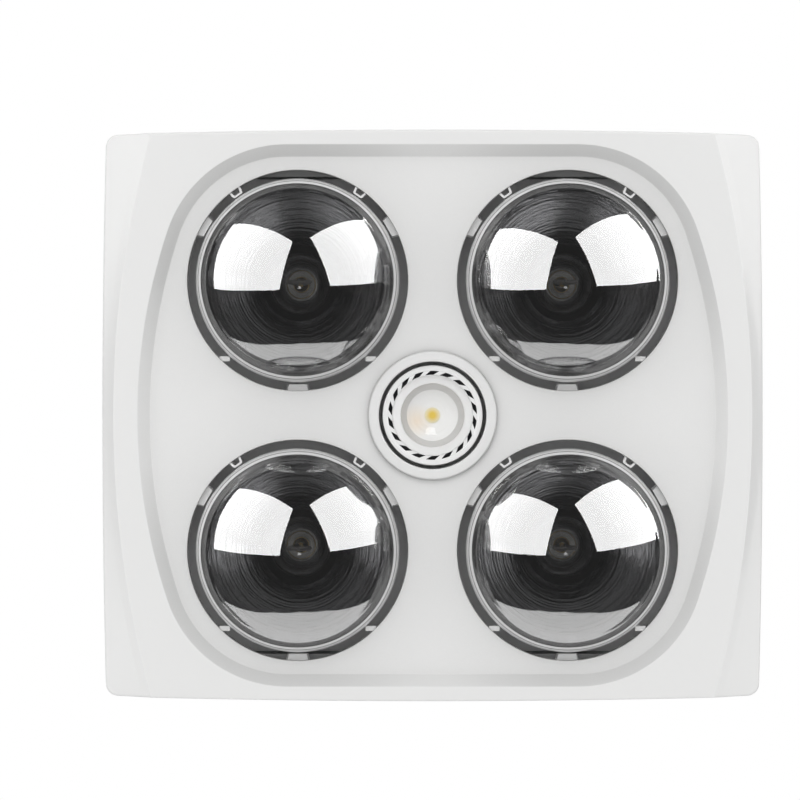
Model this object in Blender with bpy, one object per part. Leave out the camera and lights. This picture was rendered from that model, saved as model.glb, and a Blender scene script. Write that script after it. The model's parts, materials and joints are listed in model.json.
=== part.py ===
"""Bathroom ceiling heater with four infrared lamps, a centre light and an exhaust fan.

Metres, +Z up as it hangs: z = 0 is the underside of the ceiling board, where the
housing's flange lies. The fascia looks down, towards -Z, and the origin is the middle of
the ceiling cut-out. Run it in Blender to build every piece as its own named object.
"""
import math

import bmesh
import bpy
from mathutils import Vector, geometry

# Shared values
GAP = 0.0003                    # clearance between pieces that touch
SHEET = 0.001                   # pressed sheet metal
OVERRUN = 0.004                 # how far a cutter runs past what it cuts
MERGE = 0.00001                 # points nearer than this are one point
FINE_STEPS = 32                 # facets round the large circles
ROUND_STEPS = 20                # facets round medium turned parts
SMALL_STEPS = 16                # facets round small turned parts
TINY_STEPS = 12                 # facets round pins and screws

# Lamp layout, both ways
LAMP_RADIUS = 0.0625
AIR_RING = 0.00525              # open ring round a heat lamp
HOLE_RADIUS = LAMP_RADIUS + AIR_RING
HOLE_LAND = 0.0301              # fascia between two lamp holes
LAMP_PITCH = 2 * HOLE_RADIUS + HOLE_LAND
LAMP_SIGNS = ((-1, -1), (1, -1), (-1, 1), (1, 1))

# Heat lamp, upright, its widest plane named from the ceiling
LAMP_WIDEST_Z = -0.014
LAMP_DOME_SPREAD = 0.0095       # how far the ball of the dome is wider than the lamp
LAMP_DOME_RADIUS = LAMP_RADIUS + LAMP_DOME_SPREAD
LAMP_SHOULDER_RADIUS = 0.023
LAMP_NECK_RADIUS = 0.020
LAMP_BELL_HEIGHT = 0.072        # widest plane to the start of the neck
LAMP_NECK_HEIGHT = 0.020
LAMP_THROAT_HEIGHT = 0.010
LAMP_GLASS_WALL = 0.0012
LAMP_TAIL_DEPTH = 0.006         # glass inside the cap
DOME_STEPS = 3
SHOULDER_STEPS = 3
BELL_STEPS = 3
BELL_BELLY_SHARE = 1.5
BELL_WAIST_SHARE = 1.25

# Filament mount
STEM_HEIGHT = 0.012
LEAD_RADIUS = 0.0009
LEAD_SPREAD = 0.0075
LEAD_LENGTH = 0.062
COIL_RADIUS = 0.0014
COIL_DROP = 0.004
COIL_OVERHANG = 0.0016
LEAD_STEPS = 4

# Screw cap, the E27 size
CAP_RADIUS = 0.0132
CAP_CREST = 0.0006
CAP_WALL = 0.0006
CAP_HEIGHT = 0.024
CAP_TURNS = 3
CAP_SKIRT_HEIGHT = 0.005
CONTACT_RADIUS = 0.0048
CONTACT_STEM_RADIUS = 0.003
CONTACT_HEIGHT = 0.0032
CAP_END_RADIUS = 0.0075
CAP_END_HEIGHT = 0.0025

# Lampholder
HOLDER_WALL = 0.0070
HOLDER_FOOT_HEIGHT = 0.012
HOLDER_FOOT_WALL = 0.0030
HOLDER_LIP = 0.002              # the holder's lip above the cap's rim
HOLDER_HEIGHT = 0.0437
SHELL_INSET = 0.0006
HOLDER_HEADROOM = 0.003
SHELL_WALL = 0.0006
SHELL_PLAY = 0.0009
SHELL_HEIGHT = 0.020

# Centre lamp
SPOT_RIM_RADIUS = 0.0307
SPOT_FRONT_Z = -0.0125
SPOT_RIM_LAND = 0.0034
SPOT_RIM_INNER_RADIUS = SPOT_RIM_RADIUS - SPOT_RIM_LAND
SPOT_RIM_STEP = 0.0008
SPOT_SLOT_LAND = 0.0031
SPOT_LENS_RADIUS = SPOT_RIM_INNER_RADIUS - SPOT_SLOT_LAND
SPOT_LENS_THICKNESS = 0.003
SPOT_LENS_CROWN = 0.0012
SPOT_RIM_HEIGHT = 0.009
SPOT_BODY_HEIGHT = 0.058
SPOT_WAIST_RADIUS = 0.0185
SPOT_WAIST_HEIGHT = 0.042
SPOT_TOP_RADIUS = 0.0135
SPOT_CUP_DEPTH = 0.014
SPOT_CUP_LAND = 0.0088
SPOT_CUP_RADIUS = SPOT_LENS_RADIUS - SPOT_CUP_LAND
SPOT_LEDGE = 0.0015
SPOT_CHIP_RADIUS = 0.0047
SPOT_CHIP_THICKNESS = 0.0012

# Strap bracket over the centre lamp
STRAP_HALF_SPAN = 0.056
STRAP_WIDTH = 0.018
STRAP_THICKNESS = 0.0015
STRAP_FOOT = 0.014

# Fascia plan, outward from the lamp holes
FASCIA_SIDE_MARGIN = 0.05245
FASCIA_END_MARGIN = 0.02445
FASCIA_HALF_X = LAMP_PITCH / 2 + HOLE_RADIUS + FASCIA_SIDE_MARGIN
FASCIA_HALF_Y = LAMP_PITCH / 2 + HOLE_RADIUS + FASCIA_END_MARGIN
FASCIA_SIDE_BOW_RADIUS = 6.39
FASCIA_END_BOW_RADIUS = 6.90
FASCIA_CORNER_RADIUS = 0.0075
FASCIA_WALL = 0.0025
CREASE_MARGIN = 0.0074
CREASE_HALF_X = FASCIA_HALF_X - CREASE_MARGIN
CREASE_RADIUS = 0.657
DISH_SIDE_MARGIN = 0.0222
DISH_END_MARGIN = 0.009
DISH_HALF_X = FASCIA_HALF_X - DISH_SIDE_MARGIN
DISH_HALF_Y = FASCIA_HALF_Y - DISH_END_MARGIN
DISH_SIDE_RADIUS = 0.356
DISH_CORNER_MARGIN = 0.00925
DISH_CORNER_RADIUS = HOLE_RADIUS + DISH_CORNER_MARGIN
DISH_SLOPE_WIDTH = 0.0072
CORNER_ROUNDS = 6
CORNER_STEPS = 4
SIDE_STEPS = 3
CREASE_STEPS = 12
DISH_SIDE_STEPS = 3
DISH_CORNER_STEPS = 6

# Fascia depths
RIDGE_Z = -0.0205
SIDE_EDGE_Z = -0.0085
FLOOR_Z = -0.0130
FASCIA_TOP_Z = -0.0015
EDGE_ROUND = 0.0014

# Fascia lamp holes and what stands in them
COLLAR_WALL = 0.0022
COLLAR_TOP_Z = -0.0030
TAB_LAMP_PLAY = 0.0012
TAB_INNER_RADIUS = LAMP_RADIUS + TAB_LAMP_PLAY
TAB_ROOT_HALF = 0.0068
TAB_TIP_HALF = 0.0053
TAB_FRONT_Z = -0.0085
TAB_ANGLES = (30, 150, 270)
BOSS_ANGLES = (55, 125)
BOSS_WIDTH = 0.0062
BOSS_REACH = 0.0030
BOSS_FRONT_Z = -0.0115
STUB_ANGLES = (227, 313)
STUB_HALF_X = 0.0032
STUB_HALF_Y = 0.0015
STUB_REACH = 0.0020
STUB_FRONT_Z = -0.0112
BEZEL_PLAY = 0.0023             # black ring round the centre lamp's rim
BEZEL_WIDTH = 0.0068
BEZEL_HOLE_RADIUS = SPOT_RIM_RADIUS + BEZEL_PLAY
BEZEL_RADIUS = BEZEL_HOLE_RADIUS + BEZEL_WIDTH
BEZEL_SHOULDER = 0.0026
BEZEL_FRONT_Z = -0.0168
BEZEL_TOP_Z = -0.0045

# Fascia pegs and clamps share the flange's middle line
PEG_RADIUS = 0.003
PEG_TOP_Z = 0.012
PEG_X = 0.130
PEG_PLAY = 0.0004

# Housing tub
TUB_SIDE_MARGIN = 0.00745       # past the lamp holes
TUB_END_MARGIN = 0.0027         # past the lamps
TUB_HALF_X = LAMP_PITCH / 2 + HOLE_RADIUS + TUB_SIDE_MARGIN
TUB_HALF_Y = LAMP_PITCH / 2 + LAMP_RADIUS + TUB_END_MARGIN
TUB_CORNER_RADIUS = 0.006
TUB_CORNER_STEPS = 3
FLANGE_SIDE_WIDTH = 0.018
FLANGE_END_WIDTH = 0.019
FLANGE_HALF_X = TUB_HALF_X + FLANGE_SIDE_WIDTH
FLANGE_HALF_Y = TUB_HALF_Y + FLANGE_END_WIDTH

# Heat deflector plate
DEFLECTOR_Z = 0.024
DEFLECTOR_LAMP_PLAY = 0.0085
DEFLECTOR_SPOT_PLAY = 0.0115
DEFLECTOR_SPOT_RADIUS = SPOT_WAIST_RADIUS + DEFLECTOR_SPOT_PLAY
DEFLECTOR_TURN_HEIGHT = 0.012

# Clamps
CLAMP_X = 0.045
CLAMP_SCREW_RADIUS = 0.002
CLAMP_HEAD_RADIUS = 0.004
CLAMP_HEAD_HEIGHT = 0.0022
CLAMP_SCREW_TOP_Z = 0.048
CLAMP_ARM_Z = 0.016
CLAMP_ARM_HEIGHT = 0.012
CLAMP_ARM_THICKNESS = 0.004
CLAMP_ARM_LENGTH = 0.030
CLAMP_ARM_HALF = 0.0032
CLAMP_PAD_LENGTH = 0.008
CLAMP_PAD_DROP = 0.0024

# Blower, its scroll as tall and its mouth as wide as the duct's spigot needs
SPIGOT_RADIUS = 0.049
SPIGOT_MARGIN = 0.001
IMPELLER_RADIUS = 0.055
IMPELLER_RIM = 0.009
SCROLL_CUT_OFF_GAP = 0.0055
SCROLL_GROWTH = 0.0315
SCROLL_MOUTH_RUN = 0.005
SCROLL_HEIGHT = 2 * (SPIGOT_RADIUS + SPIGOT_MARGIN)
SCROLL_MIN_RADIUS = IMPELLER_RADIUS + SCROLL_CUT_OFF_GAP
SCROLL_MAX_RADIUS = SCROLL_MIN_RADIUS + SCROLL_GROWTH
SCROLL_MOUTH_X = SCROLL_MAX_RADIUS + SCROLL_MOUTH_RUN
SCROLL_MOUTH_TOP_Y = 2 * (SPIGOT_RADIUS + SPIGOT_MARGIN) - SCROLL_MAX_RADIUS
SCROLL_START_ANGLE = 10
SCROLL_END_ANGLE = 270
SCROLL_STEPS = 26
INLET_LAP = 0.001               # the inlet's edge inside the impeller's open ring
INLET_RADIUS = IMPELLER_RADIUS - IMPELLER_RIM - INLET_LAP
IMPELLER_BASE_RISE = 0.006
IMPELLER_HEADROOM = 0.006       # below the motor
MOTOR_BELOW_LID = 0.028
IMPELLER_HEIGHT = SCROLL_HEIGHT - IMPELLER_BASE_RISE - IMPELLER_HEADROOM - MOTOR_BELOW_LID
IMPELLER_RING_HEIGHT = 0.0030
IMPELLER_BLADES = 24
IMPELLER_BLADE_THICKNESS = 0.0010
IMPELLER_BLADE_LEAN = 0.0045
HUB_RADIUS = 0.008
HUB_HEIGHT = 0.016
HUB_WEB = 0.0020
SHAFT_RADIUS = 0.003
MOTOR_RADIUS = 0.036
MOTOR_WALL = 0.0012
MOTOR_ABOVE_LID = 0.018
MOTOR_EAR_WIDTH = 0.009
MOTOR_EAR_RADIUS = MOTOR_RADIUS + MOTOR_EAR_WIDTH
MOTOR_EAR_THICKNESS = 0.0015
MOTOR_BOSS_RADIUS = 0.009
MOTOR_BOSS_HEIGHT = 0.004
STATOR_BORE_RADIUS = 0.0188
STATOR_HEIGHT = 0.026
ROTOR_AIR_GAP = 0.0005
STATOR_RISE = 0.006
ROTOR_PAST_STATOR = 0.001
MOTOR_END_PLATE = 0.002
SHAFT_PAST_HUB = 0.004

# Outlet
SPIGOT_WALL = 0.0015
SPIGOT_LENGTH = 0.054
SPIGOT_PLATE = 0.0020
FLAP_THICKNESS = 0.0008
FLAP_PLAY = 0.0012
FLAP_PIN_X = 0.0050             # pin from the plate's outer face
PIN_RADIUS = 0.0015
KNUCKLE_WALL = 0.0012
KNUCKLE_HEIGHT = 0.024
KNUCKLE_SPLIT = 0.0010
PIN_PAST_TUBE = 0.0012
FLAP_KNUCKLE_PLAY = 0.0006
FLAP_STEPS = 14

# Terminal box, between the tub's end wall and the scroll
BOX_INSET = 0.006
BOX_SCROLL_GAP = 0.014
BOX_LENGTH = TUB_HALF_X - BOX_INSET - BOX_SCROLL_GAP - SCROLL_MAX_RADIUS
BOX_WIDTH = 0.064
BOX_HEIGHT = 0.036
BOX_WALL = 0.0016
CABLE_HOLE_RADIUS = 0.007
CABLE_HOLE_MARGIN = 0.002
BLOCK_MARGIN = 0.002
BLOCK_HOLE_GAP = 0.0048
BLOCK_SIDE_GAP = 0.0084
BLOCK_LENGTH = (BOX_LENGTH - 2 * BOX_WALL - 2 * CABLE_HOLE_RADIUS - CABLE_HOLE_MARGIN
                - BLOCK_HOLE_GAP - BLOCK_MARGIN)
BLOCK_WIDTH = BOX_WIDTH - 2 * BOX_WALL - 2 * BLOCK_SIDE_GAP
BLOCK_HEIGHT = 0.016
BLOCK_WAYS = 4
BLOCK_GROOVE = 0.0016
BLOCK_GROOVE_DEPTH = 0.005
GLAND_RADIUS = 0.0095
GLAND_NUT_RADIUS = 0.0125
GLAND_NUT_HEIGHT = 0.006
GLAND_LENGTH = 0.020
GLAND_BORE_RADIUS = 0.004
GLAND_SHANK = 0.006
GLAND_PAST_WALL = 0.004
CUTOUT_RADIUS = 0.008
CUTOUT_HEIGHT = 0.005
CUTOUT_CAN_RADIUS = 0.006
CUTOUT_CAN_HEIGHT = 0.004


def lamp_places():
    """Plan centres of the four heat lamps."""
    half = LAMP_PITCH / 2
    return [(half * sx, half * sy) for sx, sy in LAMP_SIGNS]


def flange_line():
    """How far out the clamps and pegs stand, midway across the flange."""
    return (TUB_HALF_Y + FLANGE_HALF_Y) / 2 - SHEET


# Scene and materials

def clear_scene():
    for old in list(bpy.data.objects):
        bpy.data.objects.remove(old, do_unlink=True)


def finish(name, colour, roughness, metallic=0.0, transmission=0.0):
    """A plain material with the piece's own colour, roughness and metallic value."""
    made = bpy.data.materials.new(name)
    made.use_nodes = True
    shader = made.node_tree.nodes["Principled BSDF"]
    shader.inputs["Base Color"].default_value = (*colour, 1.0)
    shader.inputs["Roughness"].default_value = roughness
    shader.inputs["Metallic"].default_value = metallic
    shader.inputs["Transmission Weight"].default_value = transmission
    return made


def white_plastic(name):
    return finish(name, (0.80, 0.80, 0.79), 0.42)


def lamp_glass(name):
    return finish(name, (0.92, 0.93, 0.93), 0.05, 0.0, 0.8)


def steel_sheet(name):
    return finish(name, (0.62, 0.63, 0.64), 0.38, 1.0)


def nickel(name):
    return finish(name, (0.70, 0.69, 0.66), 0.25, 1.0)


def brass(name):
    return finish(name, (0.78, 0.60, 0.30), 0.32, 1.0)


def porcelain(name):
    return finish(name, (0.84, 0.82, 0.77), 0.35)


def dark_plastic(name):
    return finish(name, (0.03, 0.03, 0.035), 0.5)


def grey_plastic(name):
    return finish(name, (0.32, 0.33, 0.34), 0.5)


def tungsten(name):
    return finish(name, (0.35, 0.34, 0.33), 0.45, 1.0)


# Mesh helpers

def new_piece(name, bm, material, smooth=True, origin=(0.0, 0.0, 0.0)):
    """Turn a bmesh into a named object whose origin stands at the given point."""
    bmesh.ops.recalc_face_normals(bm, faces=bm.faces)
    bmesh.ops.translate(bm, verts=bm.verts, vec=-Vector(origin))
    mesh = bpy.data.meshes.new(name)
    bm.to_mesh(mesh)
    bm.free()
    mesh.materials.append(material(name))
    if smooth:
        mesh.shade_smooth()
        mesh.set_sharp_from_angle(angle=math.radians(32))
    piece = bpy.data.objects.new(name, mesh)
    piece.location = origin
    bpy.context.collection.objects.link(piece)
    return piece


def copy_piece(source, name, origin, turn=0.0):
    """A second piece of the same shape, on its own object."""
    piece = bpy.data.objects.new(name, source.data)
    piece.location = origin
    piece.rotation_euler.z = turn
    bpy.context.collection.objects.link(piece)
    return piece


def arc(centre, radius, start, end, steps):
    """Points along an arc, both ends included; angles in radians."""
    cx, cy = centre
    out = []
    for step in range(steps + 1):
        angle = start + (end - start) * step / steps
        out.append((cx + radius * math.cos(angle), cy + radius * math.sin(angle)))
    return out


def circle(centre, radius, steps, turn=0.0):
    return arc(centre, radius, turn, turn + 2 * math.pi, steps)[:-1]


def rectangle(x_low, y_low, x_high, y_high):
    return [(x_low, y_low), (x_high, y_low), (x_high, y_high), (x_low, y_high)]


def rounded_rectangle(half_x, half_y, radius, steps):
    corner_x = half_x - radius
    corner_y = half_y - radius
    quarter = math.pi / 2
    out = []
    for index, (sx, sy) in enumerate(((1, 1), (-1, 1), (-1, -1), (1, -1))):
        centre = (sx * corner_x, sy * corner_y)
        out += arc(centre, radius, quarter * index, quarter * (index + 1), steps)
    return out


def turned(bm, profile, steps, closed=False):
    """Turn (radius, height) points about the upright axis through the plan's origin.

    An open profile starts and ends on the axis; a closed one is a ring's section.
    """
    rings = []
    for radius, height in profile:
        if radius < MERGE:
            rings.append([bm.verts.new((0.0, 0.0, height))])
            continue
        points = circle((0.0, 0.0), radius, steps)
        rings.append([bm.verts.new((x, y, height)) for x, y in points])
    pairs = list(zip(rings, rings[1:]))
    if closed:
        pairs.append((rings[-1], rings[0]))
    for lower, upper in pairs:
        for index in range(steps):
            following = (index + 1) % steps
            corners = [
                lower[index % len(lower)],
                lower[following % len(lower)],
                upper[following % len(upper)],
                upper[index % len(upper)],
            ]
            unique = list(dict.fromkeys(corners))
            if len(unique) > 2:
                bm.faces.new(unique)
    return bm


def turned_piece(name, profile, steps, material, centre=(0.0, 0.0), closed=False, smooth=True):
    """A turned piece standing at a plan point."""
    bm = bmesh.new()
    turned(bm, profile, steps, closed)
    cx, cy = centre
    bmesh.ops.translate(bm, verts=bm.verts, vec=(cx, cy, 0.0))
    return new_piece(name, bm, material, smooth, (cx, cy, 0.0))


def prism(bm, outline, low, high):
    """A solid between two heights over a plan outline."""
    below = [bm.verts.new((x, y, low)) for x, y in outline]
    above = [bm.verts.new((x, y, high)) for x, y in outline]
    bm.faces.new(list(reversed(below)))
    bm.faces.new(above)
    count = len(outline)
    for index in range(count):
        following = (index + 1) % count
        bm.faces.new((below[index], below[following], above[following], above[index]))
    return below + above


def cutter(name, bm):
    """A tool body for a Boolean cut; the build leaves it out."""
    bmesh.ops.recalc_face_normals(bm, faces=bm.faces)
    mesh = bpy.data.meshes.new(name)
    bm.to_mesh(mesh)
    bm.free()
    tool = bpy.data.objects.new(name, mesh)
    tool.hide_render = True
    tool.display_type = "WIRE"
    bpy.context.collection.objects.link(tool)
    return tool


def boolean(piece, tool, operation):
    change = piece.modifiers.new(tool.name, "BOOLEAN")
    change.operation = operation
    change.solver = "EXACT"
    change.object = tool
    return change


def relief(loops, zone_at, heights, lines=()):
    """A solid whose underside and topside are heights over a plan.

    The loops cut the plan into zones. zone_at(x, y) names the zone round a point, or
    None where the plan is open, and heights[zone] gives the zone's underside and topside
    as functions of x and y. Open lines cut the plan too, where a surface has a crease.
    Upright walls close every step between zones.
    """
    points = []
    edges = []
    for loop in loops:
        first = len(points)
        count = len(loop)
        points += [Vector(point) for point in loop]
        edges += [(first + index, first + (index + 1) % count) for index in range(count)]
    for line in lines:
        first = len(points)
        points += [Vector(point) for point in line]
        edges += [(first + index, first + index + 1) for index in range(len(line) - 1)]
    flat, _, facets = geometry.delaunay_2d_cdt(points, edges, [], 0, MERGE)[:3]
    zones = []
    for facet in facets:
        x = sum(flat[corner].x for corner in facet) / len(facet)
        y = sum(flat[corner].y for corner in facet) / len(facet)
        zones.append(zone_at(x, y))
    return raise_zones(flat, facets, zones, heights)


def raise_zones(flat, facets, zones, heights):
    """Give each facet of the plan its underside and topside, and close the steps."""
    bm = bmesh.new()
    levels = {}
    spans = {}
    for facet, zone in zip(facets, zones):
        if zone is None:
            continue
        for corner in facet:
            key = (corner, zone)
            if key not in spans:
                x, y = flat[corner].x, flat[corner].y
                low, high = (height(x, y) for height in heights[zone])
                spans[key] = (low, high)
                levels.setdefault(corner, []).extend((low, high))
    for corner, values in levels.items():
        values.sort()
        kept = values[:1]
        for value in values[1:]:
            if value - kept[-1] > MERGE:
                kept.append(value)
        levels[corner] = kept
    made = {}

    def snap(corner, value):
        return min(range(len(levels[corner])), key=lambda rank: abs(levels[corner][rank] - value))

    def vertex(corner, rank):
        key = (corner, rank)
        if key not in made:
            made[key] = bm.verts.new((flat[corner].x, flat[corner].y, levels[corner][rank]))
        return made[key]

    borders = {}
    for facet, zone in zip(facets, zones):
        if zone is None:
            continue
        ranks = [tuple(snap(corner, value) for value in spans[corner, zone]) for corner in facet]
        bm.faces.new([vertex(c, rank[0]) for c, rank in zip(reversed(facet), reversed(ranks))])
        bm.faces.new([vertex(c, rank[1]) for c, rank in zip(facet, ranks)])
        count = len(facet)
        for index in range(count):
            one, two = facet[index], facet[(index + 1) % count]
            side = (ranks[index], ranks[(index + 1) % count])
            if one > two:
                one, two = two, one
                side = (side[1], side[0])
            borders.setdefault((one, two), []).append(side)
    for (one, two), sides in borders.items():
        if len(sides) == 1:
            close_step(bm, vertex, one, two, sides[0][0], sides[0][1])
            continue
        (a_one, a_two), (b_one, b_two) = sides
        for face in (0, 1):
            close_step(bm, vertex, one, two, (a_one[face], b_one[face]),
                       (a_two[face], b_two[face]))
    return bm


def close_step(bm, vertex, one, two, ranks_one, ranks_two):
    """One upright wall facet over the plan edge from one to two."""
    low_one, high_one = sorted(ranks_one)
    low_two, high_two = sorted(ranks_two)
    up = [vertex(one, rank) for rank in range(low_one, high_one + 1)]
    down = [vertex(two, rank) for rank in range(high_two, low_two - 1, -1)]
    corners = up + down
    if len(corners) > 2:
        bm.faces.new(corners)


def level(value):
    """A flat height."""
    return lambda x, y: value


def inside(x, y, outline):
    """Whether a plan point lies inside an outline."""
    odd = False
    for (ax, ay), (bx, by) in zip(outline, outline[1:] + outline[:1]):
        if (ay > y) != (by > y) and x < ax + (y - ay) * (bx - ax) / (by - ay):
            odd = not odd
    return odd


# Fascia

def photo_turn(angle):
    """An angle as seen from below, where the picture's up is -Y."""
    return -math.radians(angle)


def mirrored(quarter):
    """A whole outline from its quarter, which runs from the +X side to the +Y side."""
    left = [(-x, y) for x, y in reversed(quarter)]
    upper = quarter + [point for point in left if abs(point[0]) > MERGE]
    lower = [(x, -y) for x, y in reversed(upper)]
    return upper + [point for point in lower if abs(point[1]) > MERGE]


def side_line(y):
    return FASCIA_HALF_X - y * y / (2 * FASCIA_SIDE_BOW_RADIUS)


def end_line(x):
    return FASCIA_HALF_Y - x * x / (2 * FASCIA_END_BOW_RADIUS)


def corner_centre():
    """Middle of the fascia's corner arc, which touches both bowed sides."""
    x = FASCIA_HALF_X - FASCIA_CORNER_RADIUS
    y = FASCIA_HALF_Y - FASCIA_CORNER_RADIUS
    for _ in range(CORNER_ROUNDS):
        x = side_line(y) - FASCIA_CORNER_RADIUS
        y = end_line(x) - FASCIA_CORNER_RADIUS
    return x, y


def fascia_outline(inset=0.0):
    """The fascia's outline moved in by an inset; its sides are slightly bowed."""
    cx, cy = corner_centre()
    quarter = []
    for step in range(SIDE_STEPS):
        y = cy * step / SIDE_STEPS
        quarter.append((side_line(y) - inset, y))
    slope = cy / FASCIA_SIDE_BOW_RADIUS
    quarter += arc((cx, cy), FASCIA_CORNER_RADIUS - inset, slope, math.pi / 2 - slope,
                   CORNER_STEPS)
    for step in range(1, SIDE_STEPS + 1):
        x = cx * (1 - step / SIDE_STEPS)
        quarter.append((x, end_line(x) - inset))
    return mirrored(quarter)


def edge_depth(x, y):
    """How far a plan point lies inside the fascia's outline."""
    x, y = abs(x), abs(y)
    cx, cy = corner_centre()
    if x > cx and y > cy:
        return FASCIA_CORNER_RADIUS - math.hypot(x - cx, y - cy)
    return min(side_line(y) - x, end_line(x) - y)


def crease_line(y):
    """Where the sloping side strip starts, out from the middle."""
    run = math.sqrt(CREASE_RADIUS * CREASE_RADIUS - y * y)
    return CREASE_HALF_X - CREASE_RADIUS + run


def crease(side):
    """The crease's points from below the fascia's outline to above it."""
    reach = FASCIA_HALF_Y + OVERRUN
    out = []
    for step in range(CREASE_STEPS + 1):
        y = reach * (2 * step / CREASE_STEPS - 1)
        out.append((side * crease_line(y), y))
    return out


def dish_corner():
    """Middle of the dish's corner arc, which touches its flat end and its bowed side."""
    y = DISH_HALF_Y - DISH_CORNER_RADIUS
    reach = DISH_SIDE_RADIUS - DISH_CORNER_RADIUS
    return DISH_HALF_X - DISH_SIDE_RADIUS + math.sqrt(reach * reach - y * y), y


def dish_outline(inset=0.0):
    cx, cy = dish_corner()
    side = (DISH_HALF_X - DISH_SIDE_RADIUS, 0.0)
    meet = math.atan2(cy, cx - side[0])
    quarter = arc(side, DISH_SIDE_RADIUS - inset, 0.0, meet, DISH_SIDE_STEPS)
    quarter += arc((cx, cy), DISH_CORNER_RADIUS - inset, meet, math.pi / 2,
                   DISH_CORNER_STEPS)[1:]
    quarter.append((0.0, DISH_HALF_Y - inset))
    return mirrored(quarter)


def dish_depth(x, y):
    """How far a plan point lies inside the dish's upper edge."""
    x, y = abs(x), abs(y)
    cx, cy = dish_corner()
    side_x = DISH_HALF_X - DISH_SIDE_RADIUS
    if x < cx:
        flat = DISH_HALF_Y - y
        return min(flat, DISH_SIDE_RADIUS - math.hypot(x - side_x, y))
    if math.atan2(y, x - side_x) < math.atan2(cy, cx - side_x):
        return DISH_SIDE_RADIUS - math.hypot(x - side_x, y)
    return DISH_CORNER_RADIUS - math.hypot(x - cx, y - cy)


def share(value):
    """Limit a share to the range from nought to one."""
    return max(0.0, min(1.0, value))


def front(x, y):
    """Height of the fascia's underside, the face that shows in the room."""
    start = crease_line(y)
    strip = share((abs(x) - start) / (side_line(y) - start))
    sunk = share(dish_depth(x, y) / DISH_SLOPE_WIDTH)
    rounded = share(1 - edge_depth(x, y) / EDGE_ROUND)
    height = RIDGE_Z + strip * (SIDE_EDGE_Z - RIDGE_Z)
    return height + sunk * (FLOOR_Z - RIDGE_Z) + rounded * EDGE_ROUND


def bezel_front(x, y):
    """Height of the raised collar's underside round the centre lamp."""
    start = BEZEL_RADIUS - BEZEL_SHOULDER
    fall = share((math.hypot(x, y) - start) / BEZEL_SHOULDER)
    return BEZEL_FRONT_Z + fall * (FLOOR_Z - BEZEL_FRONT_Z)


def spread(centre, angle, inner, outer, inner_half, outer_half):
    """A tapered outline that points outwards from a centre."""
    cx, cy = centre
    turn = photo_turn(angle)
    along = (math.cos(turn), math.sin(turn))
    across = (-along[1], along[0])
    out = []
    for reach, half in ((inner, -inner_half), (outer, -outer_half),
                        (outer, outer_half), (inner, inner_half)):
        out.append((cx + along[0] * reach + across[0] * half,
                    cy + along[1] * reach + across[1] * half))
    return out


def hole_tabs(centre):
    root = HOLE_RADIUS + COLLAR_WALL / 2
    return [spread(centre, angle, TAB_INNER_RADIUS, root, TAB_TIP_HALF, TAB_ROOT_HALF)
            for angle in TAB_ANGLES]


def hole_bosses(centre):
    root = HOLE_RADIUS + COLLAR_WALL / 2
    half = BOSS_WIDTH / 2
    return [spread(centre, angle, HOLE_RADIUS - BOSS_REACH, root, half, half)
            for angle in BOSS_ANGLES]


def hole_stubs(centre):
    """Small level bars, square to the picture and not to the hole."""
    out = []
    for angle in STUB_ANGLES:
        turn = photo_turn(angle)
        x = centre[0] + (HOLE_RADIUS - STUB_REACH) * math.cos(turn)
        y = centre[1] + (HOLE_RADIUS - STUB_REACH) * math.sin(turn)
        out.append(rectangle(x - STUB_HALF_X, y - STUB_HALF_Y, x + STUB_HALF_X, y + STUB_HALF_Y))
    return out


def peg_places():
    return [(PEG_X * sx, flange_line() * sy) for sx, sy in LAMP_SIGNS]


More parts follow.
